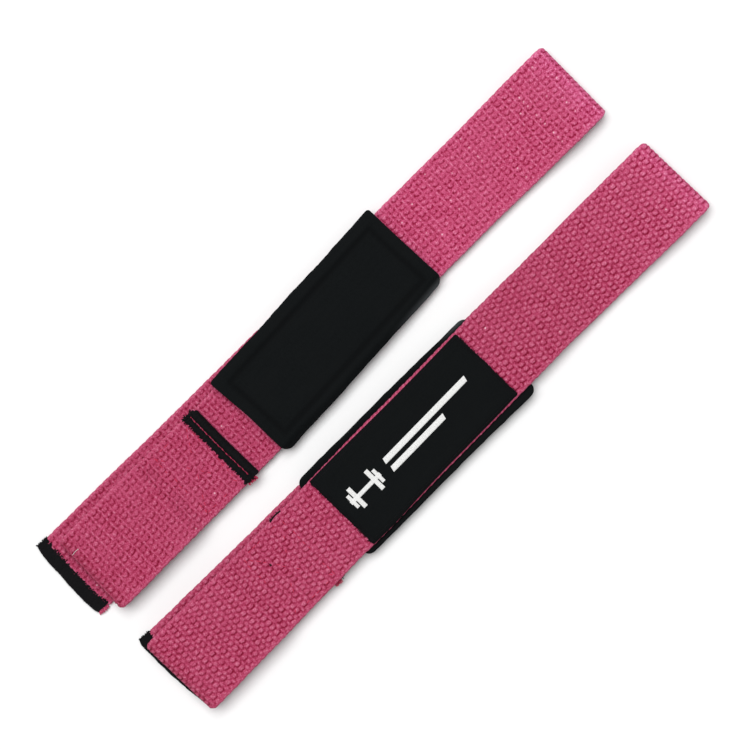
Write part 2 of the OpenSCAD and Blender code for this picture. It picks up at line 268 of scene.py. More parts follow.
# ---------------------------------------------------------------- weave
def weave(along, across, ribbed, seed):
    """Relief from 0, the floor of a pit, to 1, the top of a yarn. Every repeat along the
    strap has a column of broad knots, each with a hollow beside it, and between those
    either a continuous rib or a column of narrow knots."""
    # the weave's own coordinates wander a little
    run = -along + 0.26 * vnoise(along / 17, across / 9, seed + 11)
    run = run + 0.10 * vnoise(along / 3.1, across / 2.7, seed + 13)
    cross = -across + 0.24 * vnoise(along / 23, across / 13, seed + 12)
    cross = cross + 0.10 * vnoise(along / 2.9, across / 3.3, seed + 14)
    column = np.floor(run / REPEAT + 0.5)
    row = np.floor(cross / ROW + 0.5)

    def from_knot(i, j, rand_u, rand_v, shift=0.0, row_shift=0.0, jitter=(0.34, 0.34)):
        """Distance from the middle of knot i, j, along and across."""
        du = run - (i * REPEAT + shift + jitter[0] * (rand_u - 0.5))
        dv = cross - ((j - row_shift) * ROW + jitter[1] * (rand_v - 0.5)) - 0.10 * du
        return du, dv

    def dome(u, u_power, v, v_power):
        return np.clip(1 - abs(u) ** u_power - abs(v) ** v_power, 0, 1) ** 0.4

    out = (0.54 if ribbed else 0.44) + 0.12 * vnoise(run / 1.1, cross / 0.9, seed + 15)
    for di in (-1, 0, 1):
        i = column + di
        for dj in (-1, 0, 1, 2):
            j = row + dj
            # broad knot
            rand_u, rand_v, rand_h = hashes(i, j, seed, seed + 1, seed + 2)
            du, dv = from_knot(i, j, rand_u, rand_v)
            half = (1.40 if ribbed else 1.30) + 0.30 * (rand_h - 0.5)
            half = half * (1 + 0.14 * np.clip(dv / 1.2, -1, 1))
            up = dome(du / half, 2.6, dv / (1.16 + 0.16 * (rand_u - 0.5)), 3.2)
            out = np.maximum(out, ((0.66 if ribbed else 0.80) + 0.20 * rand_h) * up)
            if ribbed:
                continue
            # narrow knot
            rand_u, rand_v, rand_h = hashes(i, j, seed + 20, seed + 21, seed + 22)
            du, dv = from_knot(i, j, rand_u, rand_v, REPEAT / 2, 0.46, (0.40, 0.24))
            half = (0.88 + 0.20 * (rand_h - 0.5)) * (1 - 0.20 * np.clip(dv / 1.2, -1, 1))
            out = np.maximum(out, (0.80 + 0.18 * rand_h) * dome(du / half, 2.4, dv / 1.12, 2.6))
    # a thread that crosses the top of every broad knot
    for dj in (-1, 0, 1):
        rand_u, rand_h = hashes(column, row + dj, seed + 27, seed + 28)
        du = run - column * REPEAT - 0.5 * (rand_u - 0.5)
        dv = cross - ((row + dj) * ROW - 0.62)
        height = (0.55 + 0.45 * rand_h) if ribbed else (0.46 + 0.42 * rand_h)
        out = np.maximum(out, height * np.exp(-((du / 0.42) ** 2) - (dv / 0.52) ** 2))
    # the hollow beside each broad knot and up its sides
    for dj in (-1, 0, 1):
        j = row + dj
        rand_a, rand_b, rand_c = hashes(column, j, seed + 25, seed + 26, seed + 29)
        du, dv = from_knot(column, j, *hashes(column, j, seed, seed + 1))
        curve = 1.24 - 0.26 * abs(du / 1.3) ** 3 + 0.16 * (rand_c - 0.5)
        low = (du - 0.22 * (rand_b - 0.2)) / (0.98 + 0.34 * rand_a)
        low = np.exp(-(low**6) - ((dv - curve) / 0.31) ** 2)
        one_side = np.exp(-(((du + 1.16) / 0.46) ** 2) - ((dv - 0.62) / 0.62) ** 2)
        other_side = np.exp(-(((du - 1.20) / 0.42) ** 2) - ((dv - 0.78) / 0.54) ** 2)
        if ribbed:
            depths = 0.34 + 0.40 * rand_a, 0.66 + 0.34 * rand_b, 0.38 + 0.60 * rand_c
        else:
            depths = 0.60 + 0.40 * rand_a, 0.25 + 0.45 * rand_b, 0.15 + 0.45 * rand_c
        for depth, hollow in zip(depths, (low, one_side, other_side)):
            out = out * (1 - depth * hollow)
    if ribbed:
        # the rib between two columns of knots
        line = 0.86 + 0.14 * np.cos(2 * math.pi * (cross / ROW - 0.52))
        line = line + 0.18 * vnoise(run / 9, cross / 1.5, seed + 5)
        for side in (-0.5, 0.5):
            off = run - (column + side) * REPEAT - 0.16 * vnoise(run / 9, cross / 1.9, seed + 9)
            rib = np.exp(-((off / (0.30 + 0.20 * line)) ** 2))
            out = np.maximum(out, 0.96 * line * rib)
    # the plies of the yarns, and single fibres that stand out
    ply = vnoise(run / 0.55 + cross / 0.9, cross / 0.50, seed + 17)
    fibre = vnoise(run / 0.34, cross / 0.34, seed + 18)
    out = out + (0.19 * ply + 0.13 * fibre) * (0.35 + 0.65 * out)
    return np.clip(out, 0.03, 1)


def glints(along, across, seed, rate, lines):
    """Painted glints: single filaments of the yarn, pale in themselves, that catch the light as
    bright specks, and a few lines of them across the strap.
    """
    i = np.floor(along / REPEAT + 0.5)
    j = np.floor(across / ROW + 0.5 - 0.23)
    chance = 0.06 * rate
    for place, low, high, share in lines:
        near = abs(i * REPEAT - place) <= REPEAT / 2
        chance = np.where(near & (across > low) & (across < high), share, chance)
    lit = (hash2(i, j, seed + 32) < chance) * (0.35 + 0.65 * hash2(i, j, seed + 33))
    du = along - i * REPEAT - 0.1
    dv = across - j * ROW - 0.6
    return lit * np.exp(-(du * du + dv * dv) / 0.060)


# ---------------------------------------------------------------- one strap as a path
class Strap:
    """The centre line of one strap's webbing in X and Z, from the tail's end over the fold
    to the cut end of the loop, with the arc length as its parameter."""

    def __init__(self, name):
        self.name = name
        # strap a: ribbed weave, pad on top; strap b: brick weave, label on top
        self.is_a = is_a = name == "a"
        self.seed = 5 if is_a else 17
        self.pad_yaw = math.radians(3.05 if is_a else 0.1)
        self.label_yaw = math.radians(3.05 if is_a else 1.05)
        tail_lo, tail_hi = self.box("tail_webbing")
        fold_lo, fold_hi = self.box("fold_webbing")
        front_lo, front_hi = self.box("front_webbing")
        pad_lo, pad_hi = self.box("pad_webbing")
        loop_lo, loop_hi = self.box("loop_webbing")
        rear_lo, _ = self.box("loop_rear_webbing")
        self.thick = tail_hi[2] - tail_lo[2]
        half = self.thick / 2
        self.cx = middle = (pad_lo[0] + pad_hi[0]) / 2  # middle of the pad along X
        self.tail_x = tail_lo[0]
        self.fold_y = (front_lo[1] + front_hi[1]) / 2
        self.tail_y = (tail_lo[1] + tail_hi[1]) / 2
        # the loop part lies at a slight angle to the rest
        loop_y = (loop_lo[1] + loop_hi[1]) / 2
        self.pad_y = loop_y + (0.0 if is_a else 0.5)
        self.tip_y = loop_y + (-0.3 if is_a else -0.65)
        # the ends aren't folded quite square
        self.fold_skew = 0.004 if is_a else -0.030
        self.loop_skew = 0.026 if is_a else -0.030
        # centres and centre-line radii of the fold's and the loop's turn
        fold_outer = (fold_hi[2] - fold_lo[2]) / 2
        fold_radius = fold_outer - half
        self.fold_x = fold_hi[0] - fold_outer
        fold_z = fold_lo[2] + fold_outer
        loop_outer = (loop_hi[2] - loop_lo[2]) / 2
        loop_radius = loop_outer - half
        self.loop_x = loop_lo[0] + loop_outer
        loop_z = loop_lo[2] + loop_outer
        # levels of the webbing's lower face
        self.main = main = pad_lo[2]
        sag = main if is_a else front_lo[2]
        self.fold_top = fold_hi[2] - self.thick
        self.sewn = sewn = rear_lo[2] if is_a else main - self.thick - 0.1
        into_loop, out_of_loop = loop_lo[2], loop_hi[2] - self.thick
        if not is_a:
            into_loop, out_of_loop = out_of_loop, into_loop

        def turn(x, z, radius, angle):
            return np.stack([x + radius * np.cos(angle), z + radius * np.sin(angle)], 1)

        def loop_rise(x):
            return smooth(-(x - middle), 94, 103)

        right = math.pi / 2
        tail = np.arange(self.tail_x, self.fold_x, PATH_STEP)
        fold_angle = np.arange(-right, right, PATH_STEP / fold_radius)
        upper = np.arange(self.fold_x, self.loop_x, -PATH_STEP)
        sag_x, climb_x = 57.75 + middle, self.fold_x - 6.05
        upper_z = main + (sag - main) * smooth(upper, sag_x + 4, sag_x + 42)
        upper_z = upper_z + (self.fold_top - sag) * smooth(upper, sag_x + 46, climb_x - 4)
        upper_z = upper_z + (into_loop - main) * loop_rise(upper) + half
        loop_angle = np.arange(right, 3 * right, PATH_STEP / loop_radius)
        if is_a:
            loop_angle = -loop_angle
        flap = np.arange(self.loop_x, middle + FLAP_END + PATH_STEP / 2, PATH_STEP)
        flap_z = sewn + (out_of_loop - sewn) * loop_rise(flap) + half
        parts = [
            np.stack([tail, np.full_like(tail, half)], 1),
            turn(self.fold_x, fold_z, fold_radius, fold_angle),
            np.stack([upper, upper_z], 1),
            turn(self.loop_x, loop_z, loop_radius, loop_angle),
            np.stack([flap, flap_z], 1),
        ]
        path = np.concatenate(parts)
        moved = np.linalg.norm(np.diff(path, axis=0), axis=1) > 1e-4
        self.path = path = path[np.concatenate([[True], moved])]
        steps = np.linalg.norm(np.diff(path, axis=0), axis=1)
        self.arc = np.concatenate([[0], np.cumsum(steps)])
        marks = np.minimum(np.cumsum([len(part) for part in parts]), len(path) - 1)
        self.fold_start, self.fold_end, self.loop_start, self.loop_end = self.arc[marks[:4]]
        self.end = self.arc[-1]

    def box(self, part):
        low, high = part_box(f"{self.name}_{part}")
        return np.array(low) * 1000.0, np.array(high) * 1000.0

    def nearest(self, x, reach):
        """Arc length, to a whole mesh step, where a reach of the strap passes x."""
        return snap(self.arc[reach][np.argmin(abs(self.path[reach][:, 0] - x))])

    def before_loop(self, x):
        return self.nearest(x, (self.arc > self.fold_end) & (self.arc < self.loop_start))

    def after_loop(self, x):
        return self.nearest(x, self.arc > self.loop_end)

    def centre(self, along):
        """Place and upward normal of the centre line."""
        x = np.interp(along, self.arc, self.path[:, 0])
        z = np.interp(along, self.arc, self.path[:, 1])
        before, after = (np.clip(along + e, 0, self.end) for e in (-0.25, 0.25))
        dx, dz = (
            np.interp(after, self.arc, self.path[:, i]) - np.interp(before, self.arc, self.path[:, i])
            for i in (0, 1)
        )
        length = np.hypot(dx, dz)
        return x, z, -dz / length, dx / length

    def middle_y(self, along, x):
        """Sideways place of the webbing."""
        places = [self.loop_x - self.cx, -PAD_TURN, PAD_TURN, 84]
        under = np.interp(
            x - self.cx, places, [self.tip_y, self.pad_y, self.fold_y, self.fold_y]
        )
        # over the fold the webbing moves across to the tail's course
        folded = smooth(along, self.fold_start - 40, self.fold_start + 4)
        return lerp(self.tail_y, under, folded)

    def skew(self, along, x):
        """How far the webbing is sheared along X for every mm across."""
        off = x - self.cx
        at_loop = self.loop_skew * smooth(-off, 100, 144) * (along > self.fold_end)
        return self.fold_skew * smooth(off, 95, 150) + at_loop


def across_grid():
    """Places across one face, and the share of half thickness at each, with the selvedges
    rounded."""
    step = ROW / 10
    count = int(FLAT_HALF / step)
    flat = np.arange(-count, count + 1) * step
    angle = np.radians([18, 36, 54, 72])
    edge = flat[-1] + (WEB_HALF - flat[-1]) * np.sin(angle)
    share = np.cos(angle)
    return (
        np.concatenate([-edge[::-1], flat, edge]),
        np.concatenate([share[::-1], np.ones(len(flat)), share]),
    )


ACROSS, ACROSS_SHARE = across_grid()

# Lines of glints on strap a: x, lowest and highest place across, share of bright cells
GLINT_LINES = ((97.7, 2.6, 18.4, 0.85), (128.6, -17, 19, 0.80), (141.9, -15, -1.6, 0.5))


def cloth_tone_and_painted_light(strap, along, x):
    """Tone along the strap, mostly painted light: a painted highlight over the fold, painted shade
    round the loop's turn and on the tail under the upper layers, and plain darker stretches; below 0
    is darker.
    """
    off = x - strap.cx
    fold = (strap.fold_start + strap.fold_end) / 2
    loop = (strap.loop_start + strap.loop_end) / 2
    # painted highlight over the fold's curve, painted shade where the webbing turns down round the
    # loop
    at_fold = np.exp(-(((along - fold - 3.0) / 8.0) ** 2))
    at_loop = np.exp(-(((along - loop) / 5.0) ** 2))
    # strap a darker from the pad towards the loop; strap b darker all over and lighter towards its
    # fold, that part painted light
    if strap.is_a:
        tone = -0.45 * smooth(-off, -40, 40) + 0.52 * at_fold - 0.45 * at_loop
    else:
        tone = -0.50 + 0.30 * smooth(off, 80, 150) + 0.42 * at_fold - 0.25 * at_loop
    # the tail under the upper layers is kept at least this dark: painted shade
    return np.where(along < strap.fold_start, np.minimum(tone, -0.25), tone)


def webbing(name, strap, start, end, thickness=None):
    """A closed length of webbing from arc length start to end."""
    seed = strap.seed
    count = int(round((end - start) / STEP)) + 1
    along = np.minimum(start + np.arange(count) * STEP, strap.end)
    x, z, normal_x, normal_z = strap.centre(along)
    middle = strap.middle_y(along, x)
    half = 19.78 + 0.42 * smooth(abs(x - strap.cx), 70, 138)
    # the edges pull in a little where the webbing turns, and at the bound end
    fold = (strap.fold_start + strap.fold_end) / 2
    loop = (strap.loop_start + strap.loop_end) / 2
    half = half - 0.85 * np.exp(-(((along - fold) / 2.2) ** 2))
    half = half - 1.1 * np.exp(-(((along - loop) / 2.4) ** 2))
    half = half - 1.3 * (1 - smooth(along, 5.2, 7.4))

    def wander(edge_seed):
        slow = 0.16 * vnoise(along / 21, 0, edge_seed)
        return (slow + 0.10 * vnoise(along / 7, 0, edge_seed + 1))[:, None]

    grid_s, grid_v = np.meshgrid(along, ACROSS, indexing="ij")
    # scalloped selvedge: one loop of weft for every two picks
    phase = np.where(grid_v > 0, 0.0, 2.2)
    wave = 0.5 + 0.5 * np.cos(2 * math.pi * (grid_s / REPEAT) + phase)
    scallop = 0.17 * (1 - wave**0.8) + 0.05 * np.cos(2 * math.pi * grid_s / PICK)
    out = half[:, None] - scallop + np.where(grid_v > 0, wander(seed + 3), wander(seed + 6))
    y = grid_v * (1 + (out / WEB_HALF - 1) * smooth(abs(grid_v), 15.5, 20.0))
    # selvedge yarn: smoother humps in step with the scallops
    edge = smooth(abs(grid_v), 18.55, 19.0)
    hump = (grid_s / PICK) + np.where(grid_v > 0, 0.0, 0.35) + (abs(grid_v) - 18.5) * 0.30
    hump = hump - np.floor(hump + 0.5)
    hump = 0.34 + 0.52 * np.sqrt(np.clip(1 - (hump / 0.50) ** 2, 0, 1))
    skew = strap.skew(along, x)
    reliefs, surfaces = [], []
    for side, side_seed in ((1, seed), (-1, seed + 50)):
        relief = lerp(weave(grid_s, grid_v, strap.is_a, side_seed), hump, edge)
        height = (strap.thick / 2 - RELIEF * (1 - relief)) * ACROSS_SHARE
        if thickness is not None:
            height = height * thickness(grid_s)
        height = side * height
        reliefs.append(relief)
        surfaces.append(points(
            x[:, None] + normal_x[:, None] * height + skew[:, None] * y,
            middle[:, None] + y,
            z[:, None] + normal_z[:, None] * height,
        ))

    def rim(sign, reach):
        """Outermost line of vertices, at mid thickness."""
        line = points(x + skew * sign * reach, middle + sign * (reach + 0.02), z)
        return line[:, None]

    upper, lower = surfaces
    rings = np.concatenate(
        [rim(-1, out[:, 0]), upper, rim(1, out[:, -1]), lower[:, ::-1]], axis=1
    )
    sides = rings.shape[1]
    verts = rings.reshape(-1, 3)
    rim_relief = np.full((count, 1), 0.55)
    relief = np.concatenate([rim_relief, reliefs[0], rim_relief, reliefs[1][:, ::-1]], axis=1)
    relief = relief.ravel()
    face = len(ACROSS)
    ring_v = np.concatenate([[-WEB_HALF], ACROSS, [WEB_HALF], ACROSS[::-1]])
    ring_side = np.concatenate([np.zeros(face + 2), np.full(face, 40.0)])
    wv = points(
        np.repeat(along, sides), np.tile(ring_v, count), np.tile(ring_side, count) + seed * 3.0
    )
    if strap.is_a:
        rate = np.where(verts[:, 0] > strap.cx, 1.0, 0.22)
        lines = [(strap.before_loop(place), *rest) for place, *rest in GLINT_LINES]
    else:
        rate, lines = 0.05, ()
    glint = glints(wv[:, 0], wv[:, 1], seed, rate, lines) * np.clip(relief * 1.6 - 0.3, 0, 1)
    # end caps: the upper row joined to the lower row
    cap_quads, cap_tris, sharp = [], [], []
    for base, order in ((0, 1), ((count - 1) * sides, -1)):
        top = base + 1 + np.arange(face)
        bottom = base + sides - 1 - np.arange(face)
        quads = np.stack([top[:-1], top[1:], bottom[1:], bottom[:-1]], -1)
        tris = np.array([[base, top[0], bottom[0]], [base + face + 1, bottom[-1], top[-1]]])
        cap_quads.append(quads[:, ::order])
        cap_tris.append(tris[:, ::order])
        outline = base + np.arange(sides)
        sharp.append(np.stack([outline, np.roll(outline, -1)], -1))
    ob = mesh_object(
        name,
        verts,
        [
            ring_faces(count, sides, flip=True),
            np.concatenate(cap_quads),
            np.concatenate(cap_tris),
        ],
        MAT_WEB,
        {
            # relief also sets the cloth's colour: painted shade in the pits, painted highlight on the
            # yarns' tops
            "relief": relief,
            "wv": wv,
            "glint": glint,
            # painted light and shade along the strap, with some real tone
            "tone": cloth_tone_and_painted_light(strap, wv[:, 0], verts[:, 0]),
        },
        np.concatenate(sharp),
    )
    return ob


# ---------------------------------------------------------------- materials
def srgb(*rgb):
    """Linear colour with alpha from values of 0 to 255."""
    def linear(c):
        c /= 255.0
        return c / 12.92 if c <= 0.04045 else ((c + 0.055) / 1.055) ** 2.4

    return (*map(linear, rgb), 1.0)


class Look:
    """A material with a Principled shader, and short ways to add its nodes."""

    def __init__(self, name):
        self.mat = bpy.data.materials.new(name)
        self.mat.use_nodes = True
        self.tree = self.mat.node_tree
        self.tree.nodes.clear()
        output = self.node("OutputMaterial")
        self.bsdf = self.node("BsdfPrincipled")
        self.tree.links.new(self.bsdf.outputs[0], output.inputs["Surface"])

    def node(self, kind, **settings):
        node = self.tree.nodes.new("ShaderNode" + kind)
        for key, value in settings.items():
            setattr(node, key, value)
        return node

    def fill(self, node, inputs):
        """Links or sets inputs, which are given by name or number."""
        for key, value in inputs.items():
            if isinstance(value, bpy.types.NodeSocket):
                self.tree.links.new(value, node.inputs[key])
            else:
                node.inputs[key].default_value = value
        return node

    def set(self, **inputs):
        self.fill(self.bsdf, {key.replace("_", " "): v for key, v in inputs.items()})

    def attr(self, name, out="Fac"):
        return self.node("Attribute", attribute_name=name).outputs[out]

    def math(self, operation, a, b, clamp=False):
        node = self.node("Math", operation=operation, use_clamp=clamp)
        return self.fill(node, {0: a, 1: b, 2: 0.0}).outputs[0]

    def add(self, a, b):
        return self.math("ADD", a, b)

    def mul(self, a, b, clamp=False):
        return self.math("MULTIPLY", a, b, clamp)

    def around_zero(self, value, gain):
        return self.mul(self.math("SUBTRACT", value, 0.5), gain)

    def stretch(self, vec, scale):
        node = self.node("VectorMath", operation="MULTIPLY")
        return self.fill(node, {0: vec, 1: scale}).outputs[0]

    def rot(self, vec, angle):
        node = self.node("VectorRotate", rotation_type="Z_AXIS")
        return self.fill(node, {"Vector": vec, "Angle": angle}).outputs[0]

    def noise(self, vec, scale, detail, rough):
        vec = self.stretch(vec, scale)
        inputs = {"Vector": vec, "Scale": 1.0, "Detail": detail, "Roughness": rough}
        return self.fill(self.node("TexNoise"), inputs).outputs["Fac"]

    def voronoi(self, vec, scale):
        inputs = {"Vector": self.stretch(vec, scale), "Scale": 1.0}
        return self.fill(self.node("TexVoronoi"), inputs).outputs["Distance"]

    def wave(self, vec, scale, distort, direction="X"):
        node = self.node("TexWave", wave_type="BANDS", bands_direction=direction)
        inputs = {"Vector": vec, "Scale": scale, "Distortion": distort, "Detail": 1.0}
        return self.fill(node, inputs).outputs["Fac"]

    def ramp(self, value, start, stop, low=0.0, high=1.0):
        """Goes smoothly from low to high as value goes from start to stop."""
        node = self.node("MapRange", interpolation_type="SMOOTHSTEP")
        inputs = {
            "Value": value, "From Min": start, "From Max": stop, "To Min": low, "To Max": high
        }
        return self.fill(node, inputs).outputs["Result"]

    def mix(self, amount, a, b, blend="MIX"):
        node = self.node("Mix", data_type="RGBA", blend_type=blend)
        return self.fill(node, {"Factor": amount, 6: a, 7: b}).outputs[2]

    def tint(self, colour, gain, amount=1.0):
        return self.mix(amount, colour, (*gain, 1.0), "MULTIPLY")

    def bump(self, height, strength, distance):
        inputs = {"Height": height, "Strength": strength, "Distance": distance}
        return self.fill(self.node("Bump"), inputs).outputs["Normal"]


def webbing_material():
    m = Look("cotton_webbing_look")
    wv = m.attr("wv", "Vector")
    relief = m.attr("relief")
    tone = m.attr("tone")
    glint = m.attr("glint")
    fibre = m.noise(m.rot(wv, angle=0.45), scale=(0.9, 5.5, 1.0), detail=3.0, rough=0.6)
    fuzz = m.noise(wv, scale=(3.6, 3.6, 1.0), detail=4.0, rough=0.7)
    grain = m.noise(wv, scale=(1.9, 1.9, 1.0), detail=2.0, rough=0.65)
    yarn = m.noise(wv, scale=(0.11, 0.75, 1.0), detail=2.0, rough=0.5)
    patch = m.noise(wv, scale=(0.045, 0.06, 1.0), detail=2.0, rough=0.5)
    # painted shade deep in the pits and painted highlight pale on top of the yarns, set by the relief
    height = m.add(relief, m.around_zero(fuzz, gain=0.35))
    height = m.add(height, m.around_zero(grain, gain=1.30))
    colour = m.mix(m.ramp(height, start=0.10, stop=0.60), srgb(124, 2, 40), srgb(180, 64, 102))
    colour = m.mix(m.ramp(height, start=0.60, stop=1.10, high=0.90), colour, srgb(208, 114, 145))
    speck = m.noise(wv, scale=(2.3, 2.3, 1.3), detail=1.0, rough=0.5)
    colour = m.mix(
        m.ramp(speck, start=0.40, stop=0.62),
        m.tint(colour, gain=(0.80, 0.56, 0.66)),
        m.tint(colour, gain=(1.13, 1.50, 1.36)),
    )
    # fibres, single yarns and larger patches that took the dye a little differently
    # pale fibres show on the yarns' tops and are held back in the pits, which is painted shade
    lit = m.ramp(relief, start=0.25, stop=0.75, low=0.15)
    fibre_amount = m.mul(m.ramp(fibre, start=0.38, stop=0.70, high=0.34), lit)
    colour = m.mix(fibre_amount, colour, srgb(202, 112, 142))
    colour = m.mix(m.ramp(yarn, start=0.40, stop=0.72, high=0.22), colour, srgb(160, 42, 82))
    colour = m.mix(m.ramp(patch, start=0.42, stop=0.62, high=0.10), colour, srgb(190, 92, 126))
    # painted light and shade along the strap, with some real tone, then the painted glints of bright
    # filaments
    light = m.math("MAXIMUM", tone, 0.0)
    dark = m.math("MAXIMUM", m.mul(tone, -1.0), 0.0)
    colour = m.tint(colour, gain=(1.26, 1.66, 1.64), amount=light)
    colour = m.tint(colour, gain=(0.64, 0.49, 0.48), amount=dark)
    colour = m.mix(m.mul(glint, 0.95, clamp=True), colour, srgb(250, 232, 238))
    normal = m.bump(m.add(fibre, m.mul(fuzz, 0.8)), strength=0.8, distance=0.0002)
    m.set(
        Base_Color=colour,
        Roughness=m.ramp(fuzz, start=0.3, stop=0.7, low=0.82, high=0.97),
        Specular_IOR_Level=0.12,
        Sheen_Weight=0.02,
        Sheen_Roughness=0.5,
        Sheen_Tint=srgb(255, 170, 200),
        Normal=normal,
    )
    return m.mat


def knit_material():
    """Matte knit facing: columns of fine V stitches."""
    m = Look("knit_facing_look")
    wv = m.attr("wv", "Vector")
    one_leg = m.wave(m.rot(wv, angle=0.55), scale=2.1, distort=0.5)
    other_leg = m.wave(m.rot(wv, angle=-0.55), scale=2.1, distort=0.5)
    column = m.wave(wv, scale=1.05, distort=0.2, direction="Y")
    knit = m.mix(m.ramp(column, start=0.45, stop=0.55), one_leg, other_leg)
    fuzz = m.noise(wv, scale=(2.4, 2.4, 1.0), detail=4.0, rough=0.65)
    cloud = m.noise(wv, scale=(0.06, 0.08, 1.0), detail=3.0, rough=0.5)
    press = m.attr("press")
    colour = m.mix(m.ramp(fuzz, start=0.3, stop=0.75), srgb(5, 7, 8), srgb(15, 18, 19))
    colour = m.mix(m.ramp(cloud, start=0.42, stop=0.62, high=0.4), colour, srgb(12, 14, 15))
    # painted shade along the seam's groove
    colour = m.mix(m.mul(press, 0.6), colour, srgb(3, 4, 5))
    # painted highlight: pale grey where a rolled corner catches light
    colour = m.mix(m.mul(m.attr("rolled_corner_highlight"), 0.8), colour, srgb(66, 70, 72))
    height = m.add(m.mul(knit, 0.5), m.mul(fuzz, 0.6))
    m.set(
        Base_Color=colour,
        Roughness=m.ramp(fuzz, start=0.3, stop=0.7, low=0.60, high=0.82),
        Specular_IOR_Level=0.06,
        Sheen_Weight=0.01,
        Sheen_Roughness=0.35,
        Sheen_Tint=srgb(150, 160, 170),
        Normal=m.bump(height, strength=0.6, distance=0.00012),
    )
    return m.mat


def foam_material():
    m = Look("neoprene_look")
    wv = m.attr("wv", "Vector")
    pores = m.voronoi(wv, scale=(1.6, 1.6, 1.6))
    grain = m.noise(wv, scale=(1.8, 1.8, 1.8), detail=3.0, rough=0.6)
    colour = m.mix(m.ramp(pores, start=0.1, stop=0.6), srgb(9, 9, 10), srgb(21, 22, 24))
    m.set(
        Base_Color=colour,
        Roughness=m.ramp(grain, start=0.3, stop=0.7, low=0.45, high=0.65),
        Specular_IOR_Level=0.16,
        Normal=m.bump(m.add(pores, grain), strength=0.5, distance=0.0001),
    )
    return m.mat


def label_material():
    """Black satin label with fine weft lines."""
    m = Look("label_weave_look")
    wv = m.attr("wv", "Vector")
    weft = m.wave(wv, scale=1.55, distort=0.35, direction="Y")
    warp = m.wave(m.rot(wv, angle=1.1), scale=2.6, distort=0.6)
    fuzz = m.noise(wv, scale=(0.8, 5.0, 1.0), detail=3.0, rough=0.6)
    cloud = m.noise(wv, scale=(0.07, 0.10, 1.0), detail=2.0, rough=0.5)
    colour = m.mix(m.ramp(fuzz, start=0.3, stop=0.72), srgb(1, 3, 4), srgb(8, 11, 12))
    colour = m.mix(m.ramp(cloud, start=0.42, stop=0.62, high=0.5), colour, srgb(5, 8, 9))
    height = m.add(m.mul(weft, 0.7), m.mul(warp, 0.35))
    m.set(
        Base_Color=colour,
        Roughness=m.ramp(fuzz, start=0.3, stop=0.7, low=0.50, high=0.68),
        Specular_IOR_Level=0.06,
        Sheen_Weight=0.0,
        Normal=m.bump(height, strength=0.5, distance=0.00008),
    )
    return m.mat


def thread_material(name, dark, light, rough, specular, sheen=0.1):
    """Twisted thread: its plies wind round it, with painted shade between them."""
    m = Look(name)
    wv = m.attr("wv", "Vector")
    ply = m.wave(m.rot(wv, angle=0.9), scale=2.4, distort=0.4)
    vary = m.noise(wv, scale=(0.5, 0.5, 0.73), detail=2.0, rough=0.5)
    shade = m.add(m.mul(ply, 0.65), m.mul(vary, 0.45))
    m.set(
        Base_Color=m.mix(m.ramp(shade, start=0.2, stop=0.85), dark, light),
        Roughness=m.ramp(vary, start=0.3, stop=0.7, low=rough - 0.08, high=rough + 0.08),
        Specular_IOR_Level=specular,
        Sheen_Weight=sheen,
        Normal=m.bump(ply, strength=0.5, distance=0.00007),
    )
    return m.mat


MAT_WEB = webbing_material()
MAT_KNIT = knit_material()
MAT_FOAM = foam_material()
MAT_LABEL = label_material()
MAT_BLACK = thread_material(
    "black_thread_look", srgb(3, 3, 4), srgb(27, 27, 29), rough=0.65, specular=0.06, sheen=0.0
)
MAT_WHITE = thread_material(
    "white_thread_look", srgb(196, 196, 194), srgb(238, 238, 237), rough=0.6, specular=0.2
)
MAT_PINK = thread_material(
    "pink_thread_look", srgb(150, 18, 52), srgb(206, 52, 92), rough=0.7, specular=0.15
)
MAT_PINK_FRAY = thread_material(
    "yarn_fray_look", srgb(150, 24, 62), srgb(212, 92, 130), rough=0.85, specular=0.2
)


